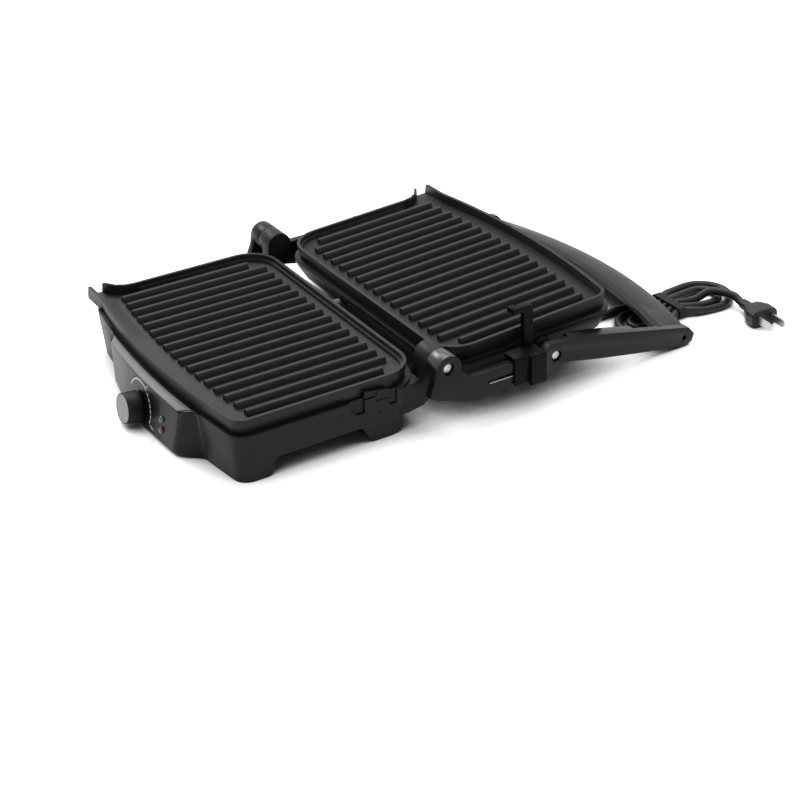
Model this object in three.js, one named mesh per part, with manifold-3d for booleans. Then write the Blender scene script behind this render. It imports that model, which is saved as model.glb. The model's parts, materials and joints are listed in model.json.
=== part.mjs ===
// Contact grill lying open: a ribbed plate in a base on four legs, and a second one in a lid
// that hangs between two arms with a handle. Millimetres, +Z up, +Y from the control side
// towards the handle. Places are worked out from the hinge line, which is at y = 0 here; the
// last lines move the whole part so that its origin is the middle of its footprint.

import * as THREE from 'three';
import { mergeVertices } from 'three/addons/utils/BufferGeometryUtils.js';
import Module from 'manifold-3d';

const wasm = await Module();
wasm.setup();

// Driving sizes
const seatGap = 0.3;
const overrun = 4;
const degree = Math.PI / 180;
const ribTopHeight = 49;
const ribEndToHinge = 23.5;
const hingeAboveRibs = 4.2;
const closedRibGap = 7;
const openTilt = 3.26 * degree;
const hingeHeight = ribTopHeight + hingeAboveRibs;

// Cast plates
const plateHalfWidth = 124;
const plateNear = -12.5;
const plateFar = 137;

// Ribs of both plates, within the plates' margins
const ribCount = 17;
const ribMargin = 16;
const gutterRoom = 14.5;
const ribPitch = (2 * (plateHalfWidth - ribMargin)) / (ribCount - 1);
const ribTopWidth = 3.7;
const ribFootWidth = 8.4;
const ribHeight = 4.5;
const ribLength = plateFar - gutterRoom;
const ribBow = 7;
const ribEndSlope = 2.4;
const cornerRibSetback = 12;
const ribSpan = (ribCount - 1) * ribPitch;

// Rims and walls of the plates
const frontBow = 8.5;
const plateNearRadius = 26;
const plateFarRadius = 12;
const rimAboveRibs = 1.5;
const rimWidth = 2.6;
const rimStep = 2.2;
const rimStepDepth = 3.4;
const plateFloor = 4;
const skirtDepth = 9.7;
const skirtWall = 3.5;
const skirtDraft = 1.6;
const frontStep = 0.4;
const gutterDepth = 1.6;
const gutterFlat = 3;
const gutterDrop = 0.8;
const spoutReach = 13.6;
const spoutFloorReach = 2.6;
const spoutMouth = 14.4;
const spoutBend = 19;
const spoutWall = 2.4;
const studRadius = 4;
const studReach = 8.2;
const studInset = 10;

// Housings of the base and the lid
const lipOverhang = 3;
const housingFrontOverhang = 2;
const wall = 3;
const lipBelowRibs = 10;
const seatLedge = 8;
const ledgeDepth = 3;
const baseWallBottom = 15;
const baseDraft = 3;
const coverBottom = 17;
const coverThickness = 2.3;
const lidDepth = 31;
const lidCrownInset = 15;
const lidBandDepth = 27.5;
const lidBandInset = 7.5;
const lidFlankDepth = 20;
const lidFlankInset = 3.4;

// Legs
const legWidth = 26;
const legBottom = 0.8;
const frontLegRear = 132.6;
const rearLegFront = 59.4;
const rearLegRear = 25;
const legRound = 3;
const legSlope = 7.5;
const skirtDepthInFront = 6;
const frontPadPlace = 147;
const rearPadPlace = 42;
const padInset = 14;
const padRadius = 6.5;
const padHeight = 1.5;

// Control pod on the front of the base
const podHalfWidth = 79.5;
const podShoulder = 62;
const podBottom = 1.5;
const podFill = 42;
const stripDrop = 1.6;
const stripLean = 6.4;
const stripTurn = 0.016;
const podBulge = 11.1;
const podLip = 2;
const podWall = 2.5;
const stripThickness = 1.3;
const stripHalfWidth = 69.5;
const stripEdgeHalf = 62.3;
const knobPlace = 1.8;
const knobHeight = 14;
const lampPlace = 40.5;
const greenLampHeight = 20.7;
const redLampHeight = 12.2;
const lampRadius = 2.6;
const lampProud = 0.9;
const lampLength = 6.5;

// Knob
const knobBaseRadius = 12.3;
const knobTopRadius = 11.8;
const knobLength = 13.6;
const knobCapRadius = 10.9;
const knobCapThickness = 1.1;
const knobEdge = 1.2;
const shaftRadius = 3;
const shaftReach = 5.5;

// Hinge
const barrelRadius = 10.5;
const towerInset = 13;
const towerSetback = 2.5;
const towerProud = 4;
const armClearance = 12.3;
const armThickness = 6.7;
const hingePinRadius = 3;
const screwRecessRadius = 5;
const screwRecessDepth = 5;
const screwHeadRadius = 3.7;
const screwHeadHeight = 2.2;
const hingePinReach = 28;

// Arms, in millimetres along Y from the hinge and up from the counter
const armTopAtSaddle = 41.2;
const armShoulder = 4.8;
const armBottomAtFront = 22;
const armEnd = 234;
const armSplay = 0.061;
const armSplayStart = 80;
const armFlange = 3;
const flangeWidth = 5;
const pivotRun = 70;
const pivotDrop = 20.7;
const pivotBossRadius = 8;
const pivotHeadRadius = 3.4;
const pivotRecessRadius = 4.6;
const pivotPinRadius = 2.5;
const pivotPinReach = 24;
const lidBossProud = 2.5;

// Handle bar
const handleInnerReach = 218;
const handleDepth = 33;
const handleInnerBow = 19.4;
const handleOuterBow = 20.8;
const handleInnerTop = 22;
const handleOuterTop = 13.5;
const handleUnderside = 9;
const handleThickness = 6;
const handleRound = 5;
const endHoleRadius = 2.2;
const endHolePlace = 223.5;
const endHoleLevel = 8.3;

// Height slider on the right arm
const sliderTravel = 32;
const frontLobeStart = 55.5;
const frontLobeLength = 12.5;
const rearLobeLength = 13.5;
const frontLobeProud = 1.8;
const rearLobeProud = 5;
const lobeBottom = 21;
const saddleThickness = 3.3;
const fingerPlace = 77;
const fingerWidth = 8;
const fingerGap = 2.5;
const fingerThickness = 4.5;
const fingerTop = 77.5;
const hookPlaceOpen = 66.5;
const hookWidth = 5;
const hookReach = 2.2;
const hookDepth = 4.5;
const slotHeight = 3.4;
const slotLevel = 32;
const slotStart = 33.4;
const slotEnd = 69;
const tabPlace = 67;
const tabRadius = 1.3;
const railThickness = 1.4;
const railHeight = 9;

// Catch in the right wall of the base
const catchDepth = 2.5;
const catchBottom = 27.5;
const catchRise = 5.5;
const catchFall = 3;
const catchUpperLedge = 38;
const catchLowerLedge = 34;
const catchRelief = 1;
const catchPlay = 0.8;
const catchLock = 5;
const catchBacking = 8;

// Heating and wiring
const elementRadius = 3.2;
const elementInset = 34;
const elementRuns = 4;
const panThickness = 1.2;
const panInset = 17;
const panLip = 4;
const thermostatWidth = 22;
const thermostatDepth = 6.2;
const thermostatHeight = 13;
const terminalWidth = 34;
const terminalDepth = 9;
const terminalHeight = 10;
const leadRadius = 3.4;
const leadPlace = -29;
const leadLevel = 33;

// Mains cord
const cordRadius = 3.2;
const cordSides = 8;
const cordPlace = 60;
const cordExitLevel = 24;
const cordExitSlope = 30 * degree;
const reliefLength = 26;
const reliefRadius = 5.4;
const reliefNeck = 3.9;
const reliefFlange = 3.6;
const hankX = 81;
const hankWaist = 254;
const hankPitch = 7.2;
const foldPitch = 9.6;
const hankReach = 35;
const nearReach = 35;
const farFold = 13;
const nearFold = 10;
const foldSteps = 10;
const tailTurn = 30;
const tailStart = 272;
const tieWidth = 7;
const tieWall = 1.5;
const plugWidth = 24;
const plugThickness = 15;
const plugLevel = 7.7;
const plugLength = 30;
const bladeLength = 17;
const bladeWidth = 6.3;
const bladeThickness = 1.5;
const bladeTip = 2;
const plugNeckWall = 1;
const bladeSpacing = 12.7;

// Solids

function manifoldOf(geometry) {
  const bare = geometry.index ? geometry.toNonIndexed() : geometry.clone();
  bare.deleteAttribute('normal');
  bare.deleteAttribute('uv');
  const merged = mergeVertices(bare, 1e-4);
  return new wasm.Manifold(new wasm.Mesh({
    numProp: 3,
    vertProperties: new Float32Array(merged.attributes.position.array),
    triVerts: new Uint32Array(merged.index.array),
  }));
}

function geometryOf(solid) {
  const mesh = solid.getMesh();
  const geometry = new THREE.BufferGeometry();
  geometry.setAttribute('position', new THREE.BufferAttribute(new Float32Array(mesh.vertProperties), 3));
  geometry.setIndex(new THREE.BufferAttribute(new Uint32Array(mesh.triVerts), 1));
  const faceted = geometry.toNonIndexed();
  faceted.computeVertexNormals();
  return faceted;
}

function joined(geometries) {
  return geometryOf(geometries.map(manifoldOf).reduce((sum, next) => sum.add(next)));
}

function cut(geometry, tools) {
  return geometryOf(tools.map(manifoldOf).reduce((rest, tool) => rest.subtract(tool), manifoldOf(geometry)));
}

function common(first, second) {
  return geometryOf(manifoldOf(first).intersect(manifoldOf(second)));
}

// A closed skin over rings that all have the same number of points
function loft(rings) {
  const count = rings[0].length;
  const points = rings.flat().map((p) => new THREE.Vector3(...p));
  const triangles = [];
  for (let level = 0; level + 1 < rings.length; level += 1) {
    for (let i = 0; i < count; i += 1) {
      const j = (i + 1) % count;
      const a = level * count + i;
      const b = level * count + j;
      triangles.push([a, b, b + count], [a, b + count, a + count]);
    }
  }
  for (const [level, flip] of [[0, true], [rings.length - 1, false]]) {
    const ring = points.slice(level * count, (level + 1) * count);
    const normal = new THREE.Vector3();
    ring.forEach((p, i) => normal.add(p.clone().cross(ring[(i + 1) % count])));
    normal.normalize();
    const across = new THREE.Vector3(1, 0, 0);
    if (Math.abs(normal.x) > Math.SQRT1_2) across.set(0, 1, 0);
    const u = across.cross(normal).normalize();
    const v = normal.clone().cross(u);
    const flat = ring.map((p) => new THREE.Vector2(p.dot(u), p.dot(v)));
    for (const [a, b, c] of THREE.ShapeUtils.triangulateShape(flat, [])) {
      const face = [level * count + a, level * count + b, level * count + c];
      triangles.push(flip ? face.reverse() : face);
    }
  }
  const volume = triangles.reduce((sum, [a, b, c]) => (
    sum + points[a].dot(points[b].clone().cross(points[c]))), 0);
  const faces = volume < 0 ? triangles.map((t) => [...t].reverse()) : triangles;
  const geometry = new THREE.BufferGeometry();
  const corners = faces.flat().flatMap((i) => points[i].toArray());
  geometry.setAttribute('position', new THREE.Float32BufferAttribute(corners, 3));
  geometry.computeVertexNormals();
  return geometry;
}

// An outline of (y, z) points pushed out along X from one place to another
function alongX(outline, from, to) {
  return loft([from, to].map((x) => outline.map(([y, z]) => [x, y, z])));
}

function cylinderX(radius, from, to, y, z, sides = 32) {
  const ring = Array.from({ length: sides }, (_, i) => {
    const turn = (i / sides) * 2 * Math.PI;
    return [y + radius * Math.cos(turn), z + radius * Math.sin(turn)];
  });
  return alongX(ring, from, to);
}

function mirroredAcross(axis, geometry) {
  const flip = new THREE.Vector3(axis === 'x' ? -1 : 1, axis === 'y' ? -1 : 1, 1);
  const copy = geometry.index ? geometry.toNonIndexed() : geometry.clone();
  copy.scale(flip.x, flip.y, flip.z);
  const position = copy.attributes.position;
  for (let i = 0; i < position.count; i += 3) {
    const last = [position.getX(i + 2), position.getY(i + 2), position.getZ(i + 2)];
    position.setXYZ(i + 2, position.getX(i + 1), position.getY(i + 1), position.getZ(i + 1));
    position.setXYZ(i + 1, ...last);
  }
  copy.computeVertexNormals();
  return copy;
}

// The base is drawn with its front towards +Y, like the lid, and turned over here
const inFront = (geometry) => mirroredAcross('y', geometry);

function arcPoints(cx, cy, radius, from, to, steps) {
  return Array.from({ length: steps + 1 }, (_, i) => {
    const turn = (from + ((to - from) * i) / steps) * degree;
    return [cx + radius * Math.cos(turn), cy + radius * Math.sin(turn)];
  });
}

const bowAt = (x, bow, half) => bow * (1 - (x / half) ** 2);
const quarter = 90;
const cornerSteps = 6;
const bowSteps = 12;

// A rounded outline with a straight near edge and a bowed far edge, drawn anticlockwise
function bowedOutline({ half, near, far, nearRadius, farRadius, bow = frontBow }, inset = 0) {
  const side = half - inset;
  const nearR = Math.max(nearRadius - inset, wall);
  const farR = Math.max(farRadius - inset, wall);
  const nearEdge = near + inset;
  const farEdge = far - inset;
  const right = [
    ...arcPoints(side - nearR, nearEdge + nearR, nearR, -quarter, 0, cornerSteps),
    ...arcPoints(side - farR, farEdge - farR, farR, 0, quarter, cornerSteps),
  ];
  const edgeHalf = side - farR;
  const middle = Array.from({ length: bowSteps - 1 }, (_, i) => {
    const x = edgeHalf - (2 * edgeHalf * (i + 1)) / bowSteps;
    return [x, farEdge + bowAt(x, bow, edgeHalf)];
  });
  const left = right.map(([x, y]) => [-x, y]).reverse();
  return [...right, ...middle, ...left];
}

const atLevel = (outline, z) => outline.map(([x, y]) => [x, y, z]);

// Cast plate, in its own frame: hinge-side rib ends at y = 0, rib tops at z = 0

const plateShape = {
  half: plateHalfWidth, near: plateNear, far: plateFar, nearRadius: plateNearRadius, farRadius: plateFarRadius,
};
const plateTop = rimAboveRibs;
const plateFloorLevel = -ribHeight;
const plateUnderside = plateFloorLevel - plateFloor;
const skirtBottom = -skirtDepth;
const ribFarEnd = (x) => ribLength + bowAt(x, ribBow, ribSpan / 2);

function rib(index) {
  const x = index * ribPitch - ribSpan / 2;
  const corner = index === 0 || index === ribCount - 1;
  const from = corner ? cornerRibSetback : 0;
  const to = ribFarEnd(x);
  const ring = (width, inset, z) => {
    const r = width / 2;
    return [
      ...arcPoints(x, from + inset + r, r, 2 * quarter, 4 * quarter, 4),
      ...arcPoints(x, to - inset - r, r, 0, 2 * quarter, 4),
    ].map(([px, py]) => [px, py, z]);
  };
  return loft([
    ring(ribFootWidth, 0, plateFloorLevel - seatGap),
    ring(ribFootWidth, 0, plateFloorLevel),
    ring(ribTopWidth, ribEndSlope, 0),
  ]);
}

// The spout carries the front rim straight on past the corner, and the side rim bends out to meet it
function spout() {
  const half = plateHalfWidth;
  const front = plateFar - seatGap;
  const floorTop = plateFloorLevel - gutterDepth;
  const bend = (grow) => [
    [-half + grow, front - spoutMouth - spoutBend - grow],
    [-half - spoutReach * 0.1 + grow, front - spoutMouth - spoutBend * 0.62],
    [-half - spoutReach * 0.38 + grow * 0.8, front - spoutMouth - spoutBend * 0.3 + grow * 0.4],
  ];
  const root = -half + plateNearRadius / 2;
  const outline = (reach, z) => [
    [root, front], [-half - reach, front], [-half - reach, front - spoutMouth],
    ...bend(0).reverse(), [root, front - spoutMouth - spoutBend],
  ].map(([x, y]) => [x, y, z]);
  const body = loft([
    outline(spoutReach + spoutFloorReach, floorTop - gutterDrop - spoutWall),
    outline(spoutReach + spoutFloorReach, floorTop),
    outline(spoutReach, plateTop),
  ]);
  const past = -half - spoutReach - overrun;
  const inner = [
    [root, front - rimWidth], [past, front - rimWidth],
    [past, front - spoutMouth + spoutWall], [-half - spoutReach, front - spoutMouth + spoutWall],
    ...bend(spoutWall).reverse(), [root, front - spoutMouth - spoutBend - spoutWall],
  ];
  const channel = loft([
    inner.map(([x, y]) => [x, y, floorTop - (x < -half - seatGap ? gutterDrop : 0)]),
    inner.map(([x, y]) => [x, y, plateTop + overrun]),
  ]);
  return { body, channel };
}

function plateGeometry() {
  const body = loft([
    atLevel(bowedOutline(plateShape, skirtDraft), skirtBottom),
    atLevel(bowedOutline(plateShape), plateTop),
  ]);
  const basinShape = { ...plateShape, far: plateFar + rimStep - frontStep };
  const basin = loft([
    atLevel(bowedOutline(basinShape, rimWidth + rimStep), plateFloorLevel),
    atLevel(bowedOutline(basinShape, rimWidth + rimStep - frontStep), plateTop - rimStepDepth),
    atLevel(bowedOutline(plateShape, rimWidth), plateTop - rimStepDepth),
    atLevel(bowedOutline(plateShape, rimWidth), plateTop + overrun),
  ]);
  const underside = loft([
    atLevel(bowedOutline(plateShape, skirtWall + skirtDraft), skirtBottom - overrun),
    atLevel(bowedOutline(plateShape, skirtWall + skirtDraft), plateUnderside),
  ]);
  const gutterHalf = plateHalfWidth - rimWidth - rimStep;
  const gutterStations = Array.from({ length: bowSteps + 1 }, (_, i) => gutterHalf - (2 * gutterHalf * i) / bowSteps);
  const crease = gutterStations.map((x) => (
    [x, ribFarEnd(Math.min(Math.max(x, -ribSpan / 2), ribSpan / 2)) + ribEndSlope / 2]));
  const trough = gutterStations.map((x) => [x, plateFar - rimWidth + bowAt(x, frontBow, plateHalfWidth)]);
  const beyond = trough.map(([x, y]) => [x, y + rimWidth / 2]).reverse();
  const gutter = common(
    loft([
      atLevel([...trough.map(([x, y]) => [x, y - gutterFlat]), ...beyond], plateFloorLevel - gutterDepth),
      atLevel([...crease, ...beyond], plateFloorLevel),
      atLevel([...crease, ...beyond], plateFloorLevel + seatGap),
    ]),
    loft([
      atLevel(bowedOutline(basinShape, rimWidth + rimStep), plateFloorLevel - gutterDepth - seatGap),
      atLevel(bowedOutline(basinShape, rimWidth + rimStep), plateTop),
    ]),
  );
  const studs = [-1, 1].flatMap((side) => [ribLength / 5, ribLength].map((y) => {
    const stud = new THREE.CylinderGeometry(studRadius, studRadius, studReach + plateFloor / 2, 12);
    stud.rotateX(Math.PI / 2);
    stud.translate(side * (plateHalfWidth - studInset), y, plateUnderside - (studReach - plateFloor / 2) / 2);
    return stud;
  }));
  const { body: spoutBody, channel } = spout();
  const ribs = Array.from({ length: ribCount }, (_, i) => rib(i));
  const hollow = cut(body, [basin, underside, gutter]);
  const spouted = cut(joined([hollow, cut(spoutBody, [basin])]), [channel]);
  return joined([spouted, ...ribs, ...studs]);
}

// Heating element: a rod bent to and fro under the plate, with its ends turned down
function elementGeometry(level) {
  const left = -plateHalfWidth + elementInset;
  const near = ribLength / 10;
  const far = ribLength - near;
  const spacing = (far - near) / (elementRuns - 1);
  const path = new THREE.CurvePath();
  const bend = spacing / 2;
  const runs = Array.from({ length: elementRuns }, (_, i) => near + spacing * i);
  runs.forEach((y, i) => {
    const start = i % 2 === 0 ? left : -left;
    path.add(new THREE.LineCurve3(new THREE.Vector3(start, y, level), new THREE.Vector3(-start, y, level)));
    if (i + 1 === runs.length) return;
    const out = -start + Math.sign(-start) * bend;
    path.add(new THREE.CubicBezierCurve3(
      new THREE.Vector3(-start, y, level),
      new THREE.Vector3(out, y, level),
      new THREE.Vector3(out, y + spacing, level),
      new THREE.Vector3(-start, y + spacing, level),
    ));
  });
  const circle = new THREE.Shape();
  circle.absarc(0, 0, elementRadius, 0, 2 * Math.PI);
  return new THREE.ExtrudeGeometry(circle, { steps: 64, curveSegments: 4, extrudePath: path });
}

// Reflector pan under the heating element
function panGeometry(level) {
  const outer = loft([
    atLevel(bowedOutline(plateShape, panInset), level),
    atLevel(bowedOutline(plateShape, panInset - panThickness), level + panLip),
  ]);
  const inner = loft([
    atLevel(bowedOutline(plateShape, panInset + panThickness), level + panThickness),
    atLevel(bowedOutline(plateShape, panInset), level + panLip + overrun),
  ]);
  const pocket = common(inner, loft([
    atLevel(bowedOutline(plateShape, panInset + panThickness), level + panThickness),
    atLevel(bowedOutline(plateShape, panInset + panThickness), level + panLip + overrun * 2),
  ]));
  return cut(outer, [pocket]);
}

// Housings share the plate's outline, drawn out by the lip

const housingShape = {
  half: plateHalfWidth + lipOverhang,
  near: plateNear - lipOverhang,
  far: plateFar + housingFrontOverhang,
  nearRadius: plateNearRadius + lipOverhang,
  farRadius: plateFarRadius + lipOverhang,
};
const lipLevel = -lipBelowRibs;
const baseShape = {
  ...housingShape,
  near: housingShape.near + ribEndToHinge,
  far: housingShape.far + ribEndToHinge,
};
const lipHeight = ribTopHeight + lipLevel;
const housingHalf = housingShape.half;
const towerInner = housingHalf - towerInset;
const towerOuter = housingHalf + towerProud;
const armInner = housingHalf + armClearance;
const armOuter = armInner + armThickness;
const fingerInner = housingHalf + fingerGap;
const hookInner = housingHalf - hookReach;
const wallTop = lipHeight - ledgeDepth;
const draftAt = (z) => (baseDraft * (wallTop - z)) / (wallTop - legBottom);
const baseEdgeHalf = baseShape.half - baseShape.farRadius;
const baseFront = (x) => baseShape.far + bowAt(x, frontBow, baseEdgeHalf);

// Control pod: the front panel swells out of the base between its shoulders
const smooth = (t) => t * t * (3 - 2 * t);
const swell = (x) => {
  const t = (podHalfWidth - Math.abs(x)) / (podHalfWidth - podShoulder);
  return smooth(Math.min(Math.max(t, 0), 1));
};
const podSteps = 24;
const podStations = Array.from({ length: podSteps + 1 }, (_, i) => (
  podHalfWidth * Math.sin(((2 * i) / podSteps - 1) * Math.PI / 2)));
const stripProud = (x) => stripLean + stripTurn * x;
const podProud = (x) => (
  stripProud(x) + (podBulge - stripLean) * smooth(Math.min(Math.max((x + podShoulder) / podFill, 0), 1)));
const stripFront = lipHeight - stripDrop;

function podSection(x) {
  const front = baseFront(x);
  const w = swell(x);
  const back = front - wall + seatGap;
  const rear = draftAt(podBottom) * (1 - w);
  return [
    [x, back - rear, podBottom],
    [x, front - rear + (podProud(x) - podLip) * w, podBottom],
    [x, front - rear + podProud(x) * w, podBottom + podLip],
    [x, front + stripProud(x) * w, stripFront],
    [x, front, lipHeight - seatGap],
    [x, back, lipHeight - seatGap],
  ];
}

function podHollowSection(x) {
  const front = baseFront(x);
  const w = swell(x);
  const floor = podBottom + podWall;
  const back = front - wall;
  const roof = stripFront - stripThickness - podWall;
  return [
    [x, back - overrun * 2, coverBottom + podWall],
    [x, back, coverBottom + podWall],
    [x, back, floor],
    [x, front + (podProud(x) - podLip) * w - podWall, floor],
    [x, front + podProud(x) * w - podWall, floor + podLip],
    [x, front + stripProud(x) * w - podWall, roof],
    [x, back - overrun * 2, roof],
  ];
}

const fasciaRun = stripFront - podBottom - podLip;
const fasciaDepth = (x) => podProud(x) - stripProud(x);
const fasciaLean = Math.atan2(fasciaDepth(lampPlace), fasciaRun);
const fasciaAt = (x, z) => (
  baseFront(x) + stripProud(x) + (fasciaDepth(x) * (stripFront - z)) / fasciaRun);

// Puts a piece that was turned about the Y axis on the fascia, square to it
function onFascia(geometry, x, z) {
  geometry.rotateX(fasciaLean);
  geometry.translate(x, fasciaAt(x, z), z);
  return inFront(geometry);
}

function frontPanelGeometry() {
  const inner = podStations.filter((x) => Math.abs(x) < podShoulder);
  const shell = cut(loft(podStations.map(podSection)), [
    loft(inner.map(podHollowSection)), loft(stripRings(seatGap, overrun)),
  ]);
  const hole = (radius, x, z) => {
    const tool = new THREE.CylinderGeometry(radius, radius, overrun * 3, 20);
    tool.rotateX(fasciaLean);
    tool.translate(x, fasciaAt(x, z), z);
    return tool;
  };
  return inFront(cut(shell, [
    hole(shaftRadius + seatGap, knobPlace, knobHeight),
    hole(lampRadius + seatGap, lampPlace, greenLampHeight),
    hole(lampRadius + seatGap, lampPlace, redLampHeight),
  ]));
}

// The strip lies on the slope between the lip and the fascia, and its ends are cut on the slant
function stripRings(gap, proud) {
  const edge = stripEdgeHalf + gap;
  const stations = [-edge, ...podStations.filter((x) => Math.abs(x) < edge - gap), edge];
  return stations.map((x) => {
    const end = Math.abs(x) < edge ? x : Math.sign(x) * (stripHalfWidth + gap);
    const inside = baseFront(end) - gap;
    const outside = baseFront(x) + stripProud(x) * swell(Math.min(Math.max(x, -podShoulder), podShoulder));
    return [
      [end, inside, lipHeight - seatGap - stripThickness - gap],
      [end, inside, lipHeight - seatGap + (proud > 0 ? overrun : 0)],
      [x, outside + proud, stripFront + (proud > 0 ? overrun : 0)],
      [x, outside + proud, stripFront - stripThickness - gap - (proud * stripDrop) / stripLean],
    ];
  });
}

const trimStripGeometry = () => inFront(loft(stripRings(0, 0)));

// Where the hook of the height slider lies, on the base, once the lid is closed
const hookHeight = fingerTop - hookDepth / 2 - hingeHeight;
const hookPlace = (slide) => (
  (hookPlaceOpen - slide) * Math.cos(openTilt) + hookHeight * Math.sin(openTilt));
const hookRoom = hookWidth / 2 + catchPlay;
const lockStart = hookPlace(catchLock) - hookRoom;
const lockEnd = hookPlace(0) + hookRoom;
const lowStart = hookPlace(sliderTravel) - hookRoom;
const lowEnd = hookPlace(sliderTravel) + hookRoom;

// Legs are the corners of the wall carried on down, filled, with a low skirt beside the control pod
const legTop = coverBottom - seatGap;
const legSkin = () => loft([
  atLevel(bowedOutline(baseShape, baseDraft), legBottom),
  atLevel(bowedOutline(baseShape, draftAt(legTop)), legTop),
]);

function legGeometries() {
  const frontEnd = baseShape.far + frontBow + overrun;
  const inner = baseShape.half - legWidth;
  const outer = baseShape.half + overrun;
  const r = legRound;
  const front = [
    [frontEnd, 0], [frontLegRear + r, 0], [frontLegRear + r / 3, legBottom + r / 3], [frontLegRear, legBottom + r],
    [frontLegRear - r / 3, baseWallBottom - r], [frontLegRear - r, baseWallBottom - r / 4],
    [frontLegRear - r * 2, baseWallBottom], [frontLegRear - r * 2, legTop], [frontEnd, legTop],
  ];
  const rear = [
    [rearLegFront + r, baseWallBottom], [rearLegFront + r / 2, baseWallBottom - r / 4],
    [rearLegFront, baseWallBottom - r], [rearLegFront - legSlope * 0.7, legBottom + r / 3],
    [rearLegFront - legSlope, 0], [rearLegRear + r * 2, 0], [rearLegRear + r, legBottom + r / 3],
    [rearLegRear + r / 3, legBottom + r], [rearLegRear, baseWallBottom - r],
    [rearLegRear - r / 2, baseWallBottom], [rearLegRear - r / 2, legTop], [rearLegFront + r, legTop],
  ];
  const skirtBack = baseShape.far - skirtDepthInFront;
  const skirt = [[skirtBack, 0], [frontEnd, 0], [frontEnd, legTop], [skirtBack, legTop]];
  return [-1, 1].flatMap((side) => [
    common(legSkin(), alongX(front, side * inner, side * outer)),
    common(legSkin(), alongX(rear, side * (inner + r), side * outer)),
    common(legSkin(), alongX(skirt, side * (podHalfWidth + seatGap * 2), side * (inner + r))),
  ]);
}

const padPlaces = [-1, 1].flatMap((side) => [frontPadPlace, rearPadPlace].map((v) => (
  [side * (baseShape.half - padInset), v])));

function towerGeometry(side, cavity) {
  const outline = [
    [-barrelRadius, hingeHeight], [-barrelRadius * 0.8, lipHeight + ribHeight],
    [barrelRadius * 0.4, baseWallBottom + legRound * 2], [barrelRadius * 0.6, baseWallBottom + legRound * 1.4],
    [barrelRadius * 0.9, baseWallBottom + legRound * 0.7], [rearLegRear - legRound, baseWallBottom],
    [plateNearRadius + legRound, baseWallBottom], [plateNearRadius + legRound, wallTop],
    [barrelRadius * 1.1, lipHeight], [barrelRadius, hingeHeight],
  ];
  const column = joined([
    alongX(outline, side * towerInner, side * (housingHalf - towerSetback)),
    cylinderX(barrelRadius, side * towerInner, side * towerOuter, 0, hingeHeight),
  ]);
  const bore = cylinderX(
    hingePinRadius + seatGap, side * (towerInner + wall), side * (towerOuter + overrun), 0, hingeHeight, 20);
  return cut(column, [cavity, bore]);
}

// Stepped catch in the right wall, where the hook of the height slider drops in
function catchPieces() {
  const edge = baseShape.half;
  const box = (from, to, low, high, near, far) => alongX(
    [[from, low], [to, low], [to, high], [from, high]], near, far);
  const backing = box(lowStart - wall, lockEnd + wall, catchBottom - wall, wallTop + ledgeDepth / 2,
    edge - catchBacking, edge - baseDraft);
  const finTop = lipHeight + catchRise;
  const fin = alongX([
    [lowEnd, wallTop], [lockStart, wallTop], [lockStart, finTop], [lowEnd, finTop - catchFall],
  ], plateHalfWidth + seatGap * 2, edge);
  const near = edge - catchDepth;
  const far = edge + overrun;
  const high = lipHeight + overrun;
  const notch = alongX([
    [lockStart, high], [lockStart, catchBottom], [lockEnd - catchLock, catchBottom],
    [lockEnd, catchBottom + catchLock], [lockEnd + catchLock / 5, high],
  ], near, far);
  const well = box(lowStart, lowEnd, catchBottom, high, near, far);
  const middle = (lowEnd + lockStart) / 2;
  const relief = edge - catchRelief;
  const upper = box(middle, lockStart + seatGap, catchUpperLedge, wallTop + ledgeDepth * 2, relief, far);
  const lower = box(lowEnd - seatGap, middle + seatGap, catchLowerLedge, wallTop + ledgeDepth, relief, far);
  return { backing, fin, pockets: [notch, well, upper, lower] };
}

function baseHousingGeometry() {
  const body = loft([
    atLevel(bowedOutline(baseShape, draftAt(baseWallBottom)), baseWallBottom),
    atLevel(bowedOutline(baseShape), wallTop),
    atLevel(bowedOutline(baseShape), lipHeight),
  ]);
  const under = baseWallBottom - overrun;
  const cavity = loft([
    atLevel(bowedOutline(baseShape, wall + draftAt(under)), under),
    atLevel(bowedOutline(baseShape, wall), wallTop),
  ]);
  const mouth = loft([
    atLevel(bowedOutline(baseShape, seatLedge), wallTop - overrun),
    atLevel(bowedOutline(baseShape, seatLedge), lipHeight + overrun),
  ]);
  const podRoom = loft(podStations.map((x) => {
    const wide = x * (1 + (seatGap * 2) / podHalfWidth);
    const front = baseFront(x) + overrun;
    const ledge = baseFront(x) - wall;
    const back = ledge - overrun;
    return [
      [wide, back, 0], [wide, front, 0], [wide, front, lipHeight + overrun], [wide, ledge, lipHeight + overrun],
      [wide, ledge, wallTop], [wide, back, wallTop - seatGap],
    ];
  }));
  const towers = [-1, 1].map((side) => towerGeometry(side, cavity));
  const { backing, fin, pockets } = catchPieces();
  const cordHole = new THREE.CylinderGeometry(reliefNeck + seatGap, reliefNeck + seatGap, overrun * 4, 20);
  cordHole.rotateX(cordExitSlope);
  cordHole.translate(cordPlace, baseShape.near, cordExitLevel);
  const leadHole = new THREE.CylinderGeometry(leadRadius + seatGap, leadRadius + seatGap, overrun * 4, 16);
  leadHole.translate(leadPlace, baseShape.near, leadLevel);
  const padRooms = padPlaces.map(([x, v]) => {
    const room = new THREE.CylinderGeometry(padRadius + seatGap, padRadius + seatGap, (padHeight + seatGap) * 2, 20);
    room.rotateX(Math.PI / 2);
    room.translate(x, v, 0);
    return room;
  });
  const shell = cut(body, [cavity, mouth, podRoom]);
  const whole = joined([shell, ...towers, ...legGeometries(), backing, fin]);
  return inFront(cut(whole, [...pockets, cordHole, leadHole, ...padRooms]));
}

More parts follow.
